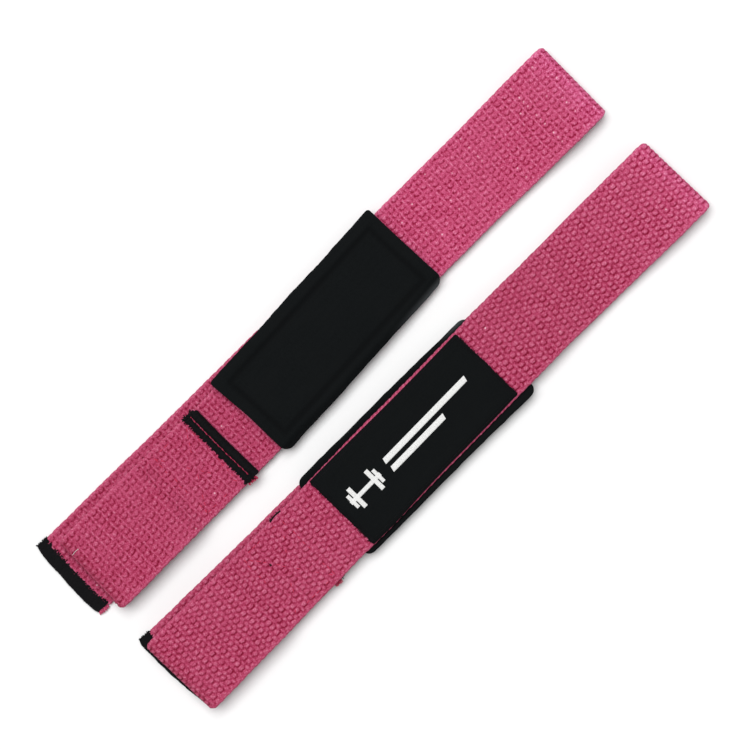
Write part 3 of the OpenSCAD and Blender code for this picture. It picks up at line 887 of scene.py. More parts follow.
# ---------------------------------------------------------------- the strap's webbing
def build_webbing(strap):
    cx = strap.cx
    binding_x = strap.box("tail_binding")[1][0] + 0.05

    def pressed(along):
        # flatter where the padded part lies on it
        off = abs(strap.tail_x + along - cx)
        return lerp(0.86 if strap.is_a else 0.66, 1.0, smooth(off, 52.5, 60))

    def bound(along):
        # the bound end is pressed thinner
        x = strap.tail_x + along
        return lerp(0.60, 1.0, smooth(x, binding_x - 0.2, binding_x + 0.55)) * pressed(along)

    def at(off):
        return metres(cx + off, 0, 0)

    loop_at = metres(strap.loop_x + 3.4, 0, 0)
    fold_from = metres(strap.fold_x, 0, strap.thick)
    fold_to = metres(strap.fold_x, 0, strap.fold_top)
    # each length starts where the one before ends: name, arc length of its end, CAD piece
    # it replaces, thickness, and the part it rides or the parts and places it spans; a length that
    # spans parts is only left in place, unattached
    lengths = [
        ("tail_cloth_1", snap(cx - 48 - strap.tail_x), "tail_webbing", bound, ["tail"]),
        ("tail_cloth_2", snap(cx + 52 - strap.tail_x), None, pressed, ["tail"]),
        ("tail_cloth_3", snap(strap.fold_start - 0.6), None, pressed, ["tail"]),
        ("fold_cloth", strap.before_loop(strap.fold_x - 5.9), "fold_webbing", None,
         ["tail", "front", fold_from, fold_to]),
        ("front_cloth", strap.before_loop(cx + 68), "front_webbing", None, ["front"]),
        ("pad_cloth", strap.before_loop(cx), "pad_webbing", None,
         ["front", "padded", at(63), at(52)]),
    ]
    if strap.is_a:
        lengths += [
            ("loop_cloth", strap.before_loop(cx - 90), None, None,
             ["padded", "loop", at(-52), at(-63)]),
            ("loop_end_cloth", strap.after_loop(strap.loop_x + 2.5), "loop_webbing", None,
             ["loop"]),
            ("loop_top_outer_cloth", strap.after_loop(cx - 120), "loop_top_webbing", None,
             ["loop", "loop_top", loop_at, at(-124)]),
            ("loop_top_inner_cloth", snap(strap.end), "loop_rear_webbing", None,
             ["loop_top", "loop", at(-118), at(-97)]),
        ]
    else:
        lengths += [
            ("loop_cloth", strap.before_loop(cx - 75), "loop_rear_webbing", None,
             ["padded", "loop", at(-52), at(-63)]),
            ("loop_top_inner_cloth", strap.before_loop(cx - 120), "loop_top_webbing", None,
             ["loop", "loop_top", at(-97), at(-118)]),
            ("loop_top_outer_cloth", strap.before_loop(strap.loop_x + 2.5), None, None,
             ["loop_top", "loop", at(-124), loop_at]),
            ("loop_end_cloth", snap(strap.end), "loop_webbing", None, ["loop"]),
        ]
    prefix = strap.name + "_"
    start = snap(3.2)
    for part, end, replaced, thickness, (mover, *blend) in lengths:
        ob = webbing(prefix + part, strap, start, end, thickness)
        if replaced:
            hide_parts(prefix + replaced)
        if blend:
            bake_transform(ob)
        else:
            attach(ob, prefix + mover)
        start = end


# ---------------------------------------------------------------- panels
def panel_grid(length, width, radius_pos, radius_neg, step):
    """A regular grid over a rectangle whose corners are rounded, with one radius at +Y and
    one at -Y; its border follows the outline."""
    count_x, count_y = int(round(length / step)) + 1, int(round(width / step)) + 1
    x, y = np.meshgrid(
        np.linspace(-length / 2, length / 2, count_x),
        np.linspace(-width / 2, width / 2, count_y),
        indexing="ij",
    )
    radius = np.where(y > 0, radius_pos, radius_neg)
    flat_x, flat_y = length / 2 - radius, width / 2 - radius
    u = np.clip((abs(x) - flat_x) / radius, 0, 1)
    v = np.clip((abs(y) - flat_y) / radius, 0, 1)
    round_x = np.sign(x) * (np.minimum(abs(x), flat_x) + radius * u * np.sqrt(1 - v * v / 2))
    round_y = np.sign(y) * (np.minimum(abs(y), flat_y) + radius * v * np.sqrt(1 - u * u / 2))
    return round_x, round_y


def border(count_x, count_y):
    """Indices of the grid's border, once round."""
    index = np.arange(count_x * count_y).reshape(count_x, count_y)
    return np.concatenate([index[:, 0], index[-1, 1:], index[-2::-1, -1], index[0, -2:0:-1]])


def panel(name, x, y, top, bottom, bulge, rings, material, attributes=None):
    """A closed slab between two height fields over the same grid, with a rounded wall."""
    count_x, count_y = x.shape
    count = count_x * count_y
    upper = points(x, y, top).reshape(-1, 3)
    lower = points(x, y, bottom).reshape(-1, 3)
    edge = border(count_x, count_y)
    outline = upper[edge, :2]
    tangent = np.roll(outline, -1, 0) - np.roll(outline, 1, 0)
    outward = np.stack([tangent[:, 1], -tangent[:, 0]], -1)
    outward /= np.linalg.norm(outward, axis=1, keepdims=True) + 1e-9
    walls, wall_wv = [], []
    for ring in range(1, rings + 1):
        share = ring / (rings + 1)
        wall = lerp(upper[edge], lower[edge], share)
        wall[:, :2] += outward * bulge * math.sin(math.pi * share)
        walls.append(wall)
        # the texture goes on outwards, ring by ring
        wv = wall.copy()
        wv[:, :2] += outward * ring
        wall_wv.append(wv)
    i = np.arange(count_x - 1)[:, None] * count_y
    j = np.arange(count_y - 1)[None, :]
    quads = np.stack([i + j, i + count_y + j, i + count_y + j + 1, i + j + 1], -1)
    quads = quads.reshape(-1, 4)
    faces = [quads, (quads + count)[:, ::-1]]
    wall_rows = [2 * count + ring * len(edge) + np.arange(len(edge)) for ring in range(rings)]
    rows = [edge, *wall_rows, edge + count]
    for row, below in zip(rows[:-1], rows[1:]):
        faces.append(np.stack([row, below, np.roll(below, -1), np.roll(row, -1)], -1))
    values = {"wv": np.concatenate([upper, lower, *wall_wv])}
    for key, value in (attributes or {}).items():
        value = value.ravel()
        values[key] = np.concatenate([value, value] + [value[edge]] * rings)
    verts = np.concatenate([upper, lower, *walls])
    return mesh_object(name, verts, [np.concatenate(faces)], material, values)


# ---------------------------------------------------------------- pad
def seam_distance(x, y):
    """Distance from the sewn rectangle."""
    off_x, off_y = abs(x) - SEAM_HALF_X, abs(y) - SEAM_HALF_Y
    outside = np.hypot(np.maximum(off_x, 0), np.maximum(off_y, 0))
    inside = np.minimum(np.maximum(off_x, off_y), 0)
    return abs(outside + inside)


def simulate_puff(x, y, seam):
    """Rise of the pad's upper sheet when it is blown up between the seam and the back."""
    scale = 10.0  # simulated ten times its size, where the solver is at ease
    frames = 20
    top = np.full_like(x, 1.5) * scale
    ob = panel("pad_sim", x * scale, y * scale, top, -top, 0.0, 1, MAT_FOAM)
    mesh = ob.data
    count = x.size
    pins = ob.vertex_groups.new(name="pins")
    pins.add([int(i) for i in np.where((seam < 1.3).ravel())[0]], 1.0, "REPLACE")
    pins.add(list(range(count, 2 * count)), 1.0, "REPLACE")
    rest = np.zeros(len(mesh.vertices) * 3)
    mesh.vertices.foreach_get("co", rest)
    cloth = ob.modifiers.new("cloth", "CLOTH")
    settings = cloth.settings
    settings.quality = 6
    settings.mass = 0.3
    settings.tension_stiffness = 12
    settings.compression_stiffness = 12
    settings.shear_stiffness = 6
    settings.bending_stiffness = 4
    settings.use_pressure = True
    settings.uniform_pressure_force = 4
    settings.vertex_group_mass = "pins"
    settings.effector_weights.gravity = 0
    cloth.collision_settings.use_collision = False
    cloth.collision_settings.use_self_collision = False
    scene = bpy.context.scene
    for timed in (scene, cloth.point_cache):
        timed.frame_start, timed.frame_end = 1, frames
    for frame in range(1, frames + 1):
        scene.frame_set(frame)
        evaluated = ob.evaluated_get(bpy.context.evaluated_depsgraph_get())
    blown = evaluated.to_mesh()
    moved = np.zeros(len(blown.vertices) * 3)
    blown.vertices.foreach_get("co", moved)
    evaluated.to_mesh_clear()
    bpy.data.objects.remove(ob)
    scene.frame_set(1)
    move = (moved - rest).reshape(-1, 3) * 1000.0 / scale
    rise = np.nan_to_num(move[:count, 2].reshape(x.shape))
    return np.clip(rise / max(float(rise.max()), 0.4) * 0.62, -0.3, 0.7)


def pad_puff():
    """How the facing swells between the seam and the edge, as a grid over the pad."""
    x, y = panel_grid(PAD_LENGTH - 1.0, PAD_WIDTH - 1.0, 3.0, 3.0, step=2.2)
    seam = seam_distance(x, y)
    return simulate_puff(x, y, seam)


PUFF = pad_puff()


def sample_puff(x, y):
    count_x, count_y = PUFF.shape
    u = np.clip((x / PAD_LENGTH + 0.5) * (count_x - 1), 0, count_x - 1.001)
    v = np.clip((y / PAD_WIDTH + 0.5) * (count_y - 1), 0, count_y - 1.001)
    i, j = u.astype(int), v.astype(int)
    u, v = u - i, v - j
    u, v = u * u * (3 - 2 * u), v * v * (3 - 2 * v)
    return lerp(
        lerp(PUFF[i, j], PUFF[i + 1, j], u), lerp(PUFF[i, j + 1], PUFF[i + 1, j + 1], u), v
    )


def pad_outline(x, y, is_a, seed):
    """The outline is cut by hand: a little wavy, on strap a finely serrated at +Y."""
    edge_x = smooth(abs(x), PAD_LENGTH / 2 - 8, PAD_LENGTH / 2)
    edge_y = smooth(abs(y), PAD_WIDTH / 2 - 8, PAD_WIDTH / 2)
    wave_x = 0.30 * vnoise(y / 14, np.sign(x) * 2.7, seed + 2)
    wave_y = 0.28 * vnoise(x / 19, np.sign(y) * 3.3, seed)
    wave_y = wave_y + 0.10 * vnoise(x / 3.1, np.sign(y) * 5.1, seed + 1)
    hollow = np.sign(x) * 0.35 * (1 - (y / (PAD_WIDTH / 2)) ** 2)
    out_x = x + edge_x * wave_x - edge_x * hollow
    out_y = y + edge_y * wave_y
    if is_a:
        out_y = out_y + edge_y * (y > 0) * 0.10 * vnoise(x / 1.1, 7.7, seed + 3)
    else:
        out_x = out_x + edge_x * np.sign(x) * 0.8
    return out_x, out_y


def pad_bend(strap, x, y, centre):
    """Droop of the pad beside the webbing, the roll of its corners, and a painted highlight, pale
    grey, where a corner rolls over and catches light."""
    yaw = strap.pad_yaw
    world_x = x * math.cos(yaw) - y * math.sin(yaw) + centre[0] - strap.cx
    world_y = x * math.sin(yaw) + y * math.cos(yaw) + centre[1]
    web_y = np.interp(world_x, [-PAD_TURN, PAD_TURN], [strap.pad_y, strap.fold_y])
    # how far each point hangs over the webbing's edge
    over_pos = np.maximum(world_y - web_y - 19.2, 0)
    over_neg = np.maximum(-(world_y - web_y) - 19.2, 0)
    if strap.is_a:
        more = (1 + 0.9 * smooth(x, 20, 50)) * (1 + 0.8 * smooth(over_neg, 1, 4))
        droop = np.maximum(-0.30 * over_pos - 0.42 * over_neg * more, -2.2)
        roll = 1.5 * smooth(x, 12, 48) * smooth(-y, 17.2, 22.6) ** 1.4
        roll = roll + 0.5 * smooth(-x, 20, 50) * smooth(-y, 18, 22.4)
        # painted highlight on the rolled corner
        rolled_corner_highlight = smooth(x, 14, 46) * smooth(-y, 19.6, 22.2)
        return droop - roll * 0.25, roll, rolled_corner_highlight
    # the overhang lifts beside the webbing, as the seam pulls the middle down
    droop = 0.26 * over_pos + 0.30 * over_neg
    roll = 1.5 * smooth(x, 22, 50) * smooth(y, 17.2, 22.6) ** 1.4
    roll = roll + 0.4 * smooth(-y, 19, 22.4)
    # painted highlight on the rolled corner
    rolled_corner_highlight = 0.9 * smooth(x, 34, 48) * smooth(y, 20.2, 22.4)
    return droop - roll, roll, rolled_corner_highlight


def build_pad(strap):
    """Facing on the wrist side, foam, and backing on the webbing side."""
    is_a = strap.is_a
    sign = 1 if is_a else -1  # direction of the wrist side along Z
    facing_lo, facing_hi = strap.box("pad_facing")
    backing_lo, backing_hi = strap.box("pad_backing")
    centre = (*((facing_lo + facing_hi) / 2)[:2], 0)
    seed = 70 + strap.seed
    x, y = panel_grid(
        PAD_LENGTH, PAD_WIDTH, 1.3 if is_a else 3.6, 4.2 if is_a else 3.6, step=0.8
    )
    out_x, out_y = pad_outline(x, y, is_a, seed)
    droop, roll, rolled_corner_highlight = pad_bend(strap, x, y, centre)
    swell = 0.7 * sample_puff(x, y) + 0.07 * vnoise(x / 13, y / 9, seed + 4)
    swell = swell - roll * 0.9 if is_a else swell * 0.12
    seam = seam_distance(x, y)
    groove = 0.34 * np.exp(-((seam / 0.95) ** 2))
    # painted shade along the seam's groove, used by the knit's colour
    press = np.exp(-((seam / 1.3) ** 2))
    edge = np.minimum(PAD_LENGTH / 2 - abs(x), PAD_WIDTH / 2 - abs(y))
    rim = 0.42 * (1 - np.sqrt(np.clip(1 - ((1.3 - np.clip(edge, 0, 1.3)) / 1.3) ** 2, 0, 1)))
    if is_a:
        outer_z, inner_z = facing_hi[2], facing_lo[2]
        backing_z, web_z = backing_hi[2], backing_lo[2]
        outer_groove, inner_groove = 1.0, 0.9
    else:
        outer_z, inner_z = facing_lo[2], facing_hi[2]
        backing_z, web_z = backing_lo[2], backing_hi[2]
        outer_groove, inner_groove = 0.35, 0.3
    outer = outer_z + sign * (swell - groove * outer_groove - rim) - 0.05 * sign + droop
    inner = inner_z + sign * (swell - groove * inner_groove) * 0.9 + droop

    def layer(name, replaced, slot, wrist, web, bulge, rings, material, values, inset=0.0):
        top, bottom = (wrist, web) if is_a else (web, wrist)
        ob = panel(
            f"{strap.name}_{name}",
            out_x * (1 - inset / PAD_LENGTH),
            out_y * (1 - inset / PAD_WIDTH),
            top, bottom, bulge, rings, material, values,
        )
        turn_into_place(ob, centre, strap.pad_yaw)
        register(ob, strap.name + "_padded", f"{strap.name}_{replaced}")

    layer("pad_facing_knit", "pad_facing", "knit_facing", outer, inner,
          bulge=0.12, rings=2, material=MAT_KNIT, values={"press": press, "rolled_corner_highlight": rolled_corner_highlight})
    # a touch smaller, so that its cut edge sits back between the two knits
    layer("pad_foam_core", "pad_foam", "neoprene_foam",
          inner - sign * 0.02, backing_z + sign * 0.02 + droop,
          bulge=0.30, rings=4, material=MAT_FOAM, values=None, inset=0.5)
    layer("pad_backing_knit", "pad_backing", "knit_facing",
          backing_z + droop, web_z + droop + sign * rim * 0.6,
          bulge=0.10, rings=2, material=MAT_KNIT, values={"press": 0 * press, "rolled_corner_highlight": rolled_corner_highlight})


# ---------------------------------------------------------------- label
def label_cloth(name, low, high, up, seed):
    x, y = panel_grid(LABEL_LENGTH, LABEL_WIDTH, 0.7, 0.7, step=0.6)
    edge_x = smooth(abs(x), LABEL_LENGTH / 2 - 5, LABEL_LENGTH / 2)
    edge_y = smooth(abs(y), LABEL_WIDTH / 2 - 5, LABEL_WIDTH / 2)
    wave_x = 0.22 * vnoise(y / 6, np.sign(x) * 2.2, seed)
    wave_x = wave_x + 0.16 * vnoise(y / 1.3, np.sign(x) * 4.2, seed + 1)
    wave_y = 0.18 * vnoise(x / 15, np.sign(y) * 3.1, seed + 2)
    wave_y = wave_y + np.sign(y) * (0.85 * smooth(-x, -10, 45) - 0.1)
    edge = np.minimum(LABEL_LENGTH / 2 - abs(x), LABEL_WIDTH / 2 - abs(y))
    # folded-under hem: a soft step along the edge, then the flat field
    hem = 0.10 * (smooth(edge, 0.0, 0.9) - smooth(edge, 4.2, 5.4))
    hem = hem - 0.36 * (1 - smooth(edge, 0.0, 0.8))
    stitch = -0.14 * np.exp(-(((edge - 1.2) / 0.35) ** 2))
    height = hem + stitch + 0.05 * vnoise(x / 9, y / 7, seed + 3) - 0.04
    top = high + height if up else high
    bottom = low if up else low - height
    out_x, out_y = x + edge_x * wave_x, y + edge_y * wave_y
    return panel(name, out_x, out_y, top, bottom, bulge=0.05, rings=2, material=MAT_LABEL)


def label_motif(name, face, sign):
    """Bars of satin threads side by side."""
    threads = Threads()

    def bar(x0, x1, y0, y1, slant=0.0, vertical=True):
        low, high = (x0, x1) if vertical else (y0, y1)
        count = int((high - low) / 0.34)
        z = face + sign * (0.03 + 0.05 * np.sin(np.linspace(0, math.pi, 6)))
        for i in range(count):
            place = low + (i + 0.5) * (high - low) / count
            if vertical:
                y = np.linspace(y0, y1, 6)
                x = place + slant * (y - (y0 + y1) / 2)
            else:
                x, y = np.linspace(x0, x1, 6), place
            threads.thread(points(x, y, z), 0.20, flat=0.5)

    # a dumbbell
    bar(-39, -21, -0.9, 0.9)
    for side in (-1, 1):
        for off, half_x, half_y in ((5.4, 1.0, 5.5), (7.8, 0.8, 3.5)):
            x = -30 + side * off
            bar(x - half_x, x + half_x, -half_y, half_y, vertical=False)
    # two lines in place of lettering
    bar(-16, 34, 1.1, 3.7, slant=0.25)
    bar(-16, 16, -3.7, -1.1, slant=0.25)
    return threads.make(name, MAT_WHITE)


def label_stitches(name, face, sign, seed, tuft_seed):
    """Running stitches along the long edges, close tacks on the short ends."""
    threads = Threads()
    half_x, half_y = LABEL_LENGTH / 2 - 1.2, LABEL_WIDTH / 2 - 1.2
    stitch, gap = 2.3, 0.55
    bow = np.sin(np.linspace(0, math.pi, 6))
    for side in (-1, 1):
        x = -half_x + 1.5
        i = 0
        while x < half_x - 1.5:
            y = side * half_y + 0.06 * vnoise(i * 0.7, 3.1 * side, seed + 5)
            z = face + sign * (0.16 * bow - 0.10)
            threads.thread(points(np.linspace(x, x + stitch, 6), y, z), 0.16)
            x += stitch + gap
            i += 1
    count = int((2 * half_y + 1.0) / 0.62)
    dip = np.array([0, 0, 0, 0, 0.05, 0.28])
    for side in (-1, 1):
        for i in range(count):
            y = -half_y - 0.4 + (i + 0.5) * (2 * half_y + 0.8) / count
            inner, outer = (hash2(i, side + 2, seed + n) - 0.5 for n in (6, 7))
            x = np.linspace(
                side * (LABEL_LENGTH / 2 - 1.9 + 0.35 * inner),
                side * (LABEL_LENGTH / 2 + 0.15 + 0.7 * outer),
                6,
            )
            z = face + sign * (0.20 * bow - 0.10 - dip)
            threads.thread(points(x, y + 0.22 * np.linspace(-1, 1, 6), z), 0.20)
    # ragged tufts where the tacks start and end
    random = np.random.RandomState(tuft_seed)
    for side_x in (-1, 1):
        for side_y in (-1, 1):
            for _ in range(16):
                start = np.array([
                    side_x * (LABEL_LENGTH / 2 - random.uniform(0.2, 1.2)),
                    side_y * (LABEL_WIDTH / 2 - random.uniform(0.2, 2.6)),
                    face - sign * 0.05,
                ])
                angle = random.uniform(0, 2 * math.pi)
                length = random.uniform(0.8, 1.7)
                rise = sign * random.uniform(0.0, 0.22)
                end = start + np.array(
                    [math.cos(angle) * length * 0.8, math.sin(angle) * length * 0.45, rise]
                )
                threads.tuft(start, end, (0, 0, sign * 0.22), 0.13)
    return threads.make(name, MAT_BLACK)


def build_label(strap):
    low, high = strap.box("label_patch")
    centre = (*((low + high) / 2)[:2], 0)
    up = not strap.is_a
    face, sign = (high[2], 1) if up else (low[2], -1)
    seed = 90 + strap.seed
    prefix = strap.name + "_label_"

    def finish(ob, replaced):
        turn_into_place(ob, centre, strap.label_yaw)
        register(ob, strap.name + "_padded", prefix + replaced)

    finish(label_cloth(prefix + "cloth", low[2], high[2], up, seed), "patch")
    finish(label_motif(prefix + "motif", face, sign), "mark")
    stitches = label_stitches(prefix + "stitches", face, sign, seed, 40 + strap.seed)
    finish(stitches, "stitching")


# ---------------------------------------------------------------- bound end of the tail
# How far the binding's outer and inner edges stand back from a straight line, at stations
# from its -Y end (-1) to its +Y end (1)
STATIONS = [-1, -0.9, -0.6, -0.4, 0, 0.3, 0.7, 0.9, 1.0]
OUTER_BACK = {
    "a": [0.9, 0.45, 0.0, 0.05, 0.45, 0.75, 1.2, 1.9, 2.8],
    "b": [2.0, 1.8, 1.2, 0.8, 0.2, 0.0, 0.0, 0.3, 1.3],
}
INNER_BACK = {
    "a": [1.0, 0.5, 0.0, 0.0, 0.1, 0.4, 0.8, 1.2, 1.6],
    "b": [0.4, 0.3, 0.2, 0.1, 0.0, 0.0, 0.0, 0.0, 0.2],
}


def build_binding(strap):
    name, is_a = strap.name, strap.is_a
    low, high = strap.box("tail_binding")
    middle_y = (low[1] + high[1]) / 2
    middle_z = (low[2] + high[2]) / 2
    half_z = (high[2] - low[2]) / 2
    y_lo, y_hi = middle_y - 18.75, middle_y + 20.35
    x_in, x_out = high[0] + 0.3, low[0]
    seed = 110 + strap.seed

    def shift(x, station):
        share = np.clip((x_in - x) / (x_in - x_out), 0, 1)
        inner = np.interp(station, STATIONS, INNER_BACK[name])
        return inner * (1 - share) + np.interp(station, STATIONS, OUTER_BACK[name]) * share

    # threads side by side, each wound round the end
    threads = Threads()
    count = int((y_hi - y_lo) / 0.5)
    for i in range(count):
        share = (i + 0.5) / count
        edge = x_out + 0.12 + 0.16 * vnoise(i * 0.17, 1.0, seed) + 0.14 * hash2(i, 5, seed)
        top_jitter = 0.75 * (hash2(i, 1, seed) - 0.5) + (0.35 if i % 2 else 0.0)
        low_jitter = 0.42 * (hash2(i, 2, seed) - 0.5)
        radius = 0.30 + 0.05 * (hash2(i, 6, seed) - 0.5)
        lift = 0.10 * hash2(i, 7, seed)
        top = half_z - radius * 0.80
        # x and height of a thread, from the top's inner edge round to the underside's
        x, height = np.array([
            (x_in + 0.35 + top_jitter, top - 0.28),
            (x_in + 0.05 + top_jitter, top - 0.02),
            (x_in - 0.9, top + 0.02 + lift),
            (x_in - 2.4, top + 0.03 + lift),
            (x_in - 4.0, top),
            (edge + 0.75, top - 0.10),
            (edge + 0.35, top - 0.35),
            (edge + 0.22, 0.0),
            (edge + 0.35, -top + 0.35),
            (edge + 0.75, -top + 0.10),
            (x_in - 4.0, -top),
            (x_in - 2.4, -top),
            (x_in - 0.9, -top),
            (x_in + 0.2 + low_jitter, -top + 0.2),
        ]).T
        lean = 0.30 * ((x_in - x) / (x_in - x_out) - 0.5) * np.where(height >= 0, 1, -1)
        y = y_lo + (y_hi - y_lo) * share + lean + 0.07 * vnoise(i * 0.9, x, seed + 3)
        line = points(x + shift(x, -1 + 2 * share), y, middle_z + height)
        threads.thread(line, radius, flat=0.85)

    # a dark underlay closes the gaps between the threads
    rows = 30
    outer = [
        (x_in - 0.25, half_z - 0.52), (x_in - 4.0, half_z - 0.50),
        (x_out + 1.3, half_z - 0.62), (x_out + 0.95, 0.0), (x_out + 1.3, -half_z + 0.62),
        (x_in - 4.0, -half_z + 0.50), (x_in - 0.25, -half_z + 0.52),
    ]
    inner = [(x + (0.18 if i == 3 else 0.0), z * 0.72) for i, (x, z) in enumerate(outer)]
    section = np.array(outer + inner[::-1])
    sides = len(section)
    verts = np.concatenate([
        points(
            section[:, 0] + shift(section[:, 0], -1 + 2 * i / (rows - 1)),
            y,
            middle_z + section[:, 1],
        )
        for i, y in enumerate(np.linspace(y_lo + 0.1, y_hi - 0.1, rows))
    ])
    caps = []
    for base, order in ((0, 1), ((rows - 1) * sides, -1)):
        for i in range(len(outer) - 1):
            quad = [base + i, base + sides - 1 - i, base + sides - 2 - i, base + i + 1]
            caps.append(quad[::order])
    quads = np.concatenate([ring_faces(rows, sides), np.array(caps)])
    threads.add(verts, quads, None, verts.copy())

    # thicker ends of thread at the +Y corner
    random = np.random.RandomState(55 + strap.seed)
    knot_from, knot_to = (x_out + 2.6, x_in + 1.4) if is_a else (x_out + 1.2, x_in + 0.4)
    for _ in range(26):
        x = random.uniform(knot_from, knot_to)
        start = (x, y_hi - random.uniform(0.0, 0.8), middle_z + random.uniform(0.0, half_z - 0.3))
        end = (
            x + random.uniform(-0.9, 0.9),
            y_hi + random.uniform(-0.2, 0.55),
            middle_z + random.uniform(-0.4, half_z),
        )
        threads.tuft(start, end, (0, 0, 0.2), random.uniform(0.14, 0.26))
    ob = threads.make(name + "_tail_end_binding", MAT_BLACK)
    register(ob, name + "_tail", name + "_tail_binding")

    # frayed pink yarn ends at the binding's -Y end and along its inner edge
    random = np.random.RandomState(60 + strap.seed)
    fray = Threads()
    for _ in range(44):
        x = random.uniform(x_out + (1.6 if is_a else 3.6), x_in + 0.6)
        start = (x, y_lo + random.uniform(-0.1, 0.5), middle_z + random.uniform(-0.6, 0.6))
        end = (
            x + random.uniform(-0.7, 0.7),
            y_lo - random.uniform(0.7, 2.1),
            max(0.25, middle_z + random.uniform(-0.7, 0.5)),
        )
        fray.tuft(start, end, (0, 0, 0.2), random.uniform(0.14, 0.26))
    for _ in range(70):
        station = random.uniform(-0.98, 0.98)
        x = x_in + np.interp(station, STATIONS, INNER_BACK[name]) + random.uniform(-0.1, 0.7)
        y = middle_y + station * 19.3
        end = (
            x - random.uniform(0.1, 0.8),
            y + random.uniform(-0.5, 0.5),
            high[2] - random.uniform(0.05, 0.35),
        )
        fray.tuft((x, y, high[2] - 0.62), end, (0, 0, 0.18), random.uniform(0.11, 0.18))
    ob = fray.make(name + "_tail_end_fray", MAT_PINK_FRAY)
    register(ob, name + "_tail")


# ---------------------------------------------------------------- bar tack and box stitch
# Rows of the bar tack: start and end from the pad's middle, height, raggedness of the start
TACK_ROWS = ((-71.1, -68.15, 0.66, 1.0), (-67.65, -64.35, 0.80, 0.22))


def build_bar_tack(strap):
    name, cx, is_a = strap.name, strap.cx, strap.is_a
    low, high = strap.box("loop_bar_tack")
    middle = float(strap.middle_y(strap.end, cx - 68.0))
    half = (high[1] - low[1]) / 2 + 0.25
    sign = 1 if is_a else -1
    # the flap's outward face, and the face it is sewn to
    face = strap.sewn + (strap.thick if is_a else 0.0)
    base = strap.main + (strap.thick if is_a else 0.0)
    seed = 130 + strap.seed
    threads = Threads()
    count = int(2 * half / 0.46)

    def bend(station):
        """Shift of the rows along X; those of strap a are bowed."""
        return -(0.55 * (1 - station * station) - 0.2 + 0.3 * station) * 0.6 if is_a else 0.0

    t = np.linspace(0, 1, 9)
    arch = np.sin(math.pi * t)
    for row, (row_from, row_to, height, ragged) in enumerate(TACK_ROWS):
        for i in range(count):
            station = -1 + 2 * (i + 0.5) / count
            jitter, end_jitter, y_jitter, lift, size = (
                hash2(i, row + n, seed) for n in (0, 7, 3, 9, 5)
            )
            start = cx + row_from + (jitter - 0.5) * ragged
            end_jitter = (end_jitter - 0.5) * ragged * 0.6
            end = cx + row_to + end_jitter * (0.4 if row == 0 else 1.0)
            if row == 1 and is_a:
                end -= 1.3 * float(smooth(station, 0.90, 1.0))
            off = bend(station)
            x = start + (end - start) * t + off
            y = middle + station * half + (0.26 if (i + row) % 2 else 0.18) * (t - 0.5)
            y = y + 0.07 * (y_jitter - 0.5)
            z = face + sign * (height * arch**0.75 - 0.24)
            z = z + sign * 0.16 * (lift - 0.3) * arch
            if row == 1:
                # these wrap the cut edge of the flap
                drop = end + 0.23 + off
                x = np.append(x, [drop, drop, drop - 0.03])
                y = np.append(y, [y[-1]] * 3)
                z = np.append(z, [face - sign * 0.5, face - sign * 1.2, base + sign * 0.12])
            threads.thread(points(x, y, z), 0.26 + 0.07 * (size - 0.5))
    # knots at both ends
    random = np.random.RandomState(80 + strap.seed)
    for side in (-1, 1):
        for _ in range(64):
            if side > 0:
                x = cx + random.choice([-70.4, -69.6, -69.6, -66.8]) + random.uniform(-0.8, 0.8)
            else:
                x = cx + random.uniform(-71.0, -65.2)
            y = middle + side * (half - random.uniform(-0.2, 1.9))
            start = np.array([x, y, face + sign * random.uniform(0.10, 0.75)])
            angle = random.uniform(0, 2 * math.pi)
            length = random.uniform(0.8, 1.8)
            rise = sign * random.uniform(-0.25, 0.3)
            end = start + np.array(
                [math.cos(angle) * length, math.sin(angle) * length * 0.75, rise]
            )
            threads.tuft(start, end, (0, 0, sign * 0.35), random.uniform(0.16, 0.30), count=7)
    ob = threads.make(name + "_loop_bar_tack_thread", MAT_BLACK)
    register(ob, name + "_loop", name + "_loop_bar_tack")

    # pink stitches in the gap between the rows, and a frayed nub at the -Y end
    fray = Threads()
    y = middle - half + 2.5
    i = 0
    t = np.linspace(0, 1, 6)
    while y < middle + half - 2.0:
        x = cx - 67.95 + bend((y + 0.9 - middle) / half) + 0.10 * math.sin(i * 2.3)
        z = face + sign * (0.50 * np.sin(math.pi * t) ** 0.6 + 0.05)
        fray.thread(points(x + 0.16 * (t - 0.5), y + 1.1 * t, z), 0.17)
        y += 2.45
        i += 1
    for _ in range(30):
        start = np.array([
            cx + random.uniform(-70.2, -66.5),
            middle - half + random.uniform(-0.2, 0.4),
            face + sign * random.uniform(-0.9, 0.2),
        ])
        length = random.uniform(0.9, 2.0)
        end = start + np.array(
            [random.uniform(-0.8, 0.8), -length, sign * random.uniform(-0.4, 0.2)]
        )
        bow = (random.uniform(-0.4, 0.4), 0, sign * 0.25)
        fray.tuft(start, end, bow, random.uniform(0.12, 0.24))
    ob = fray.make(name + "_loop_flap_fray", MAT_PINK)
    register(ob, name + "_loop")


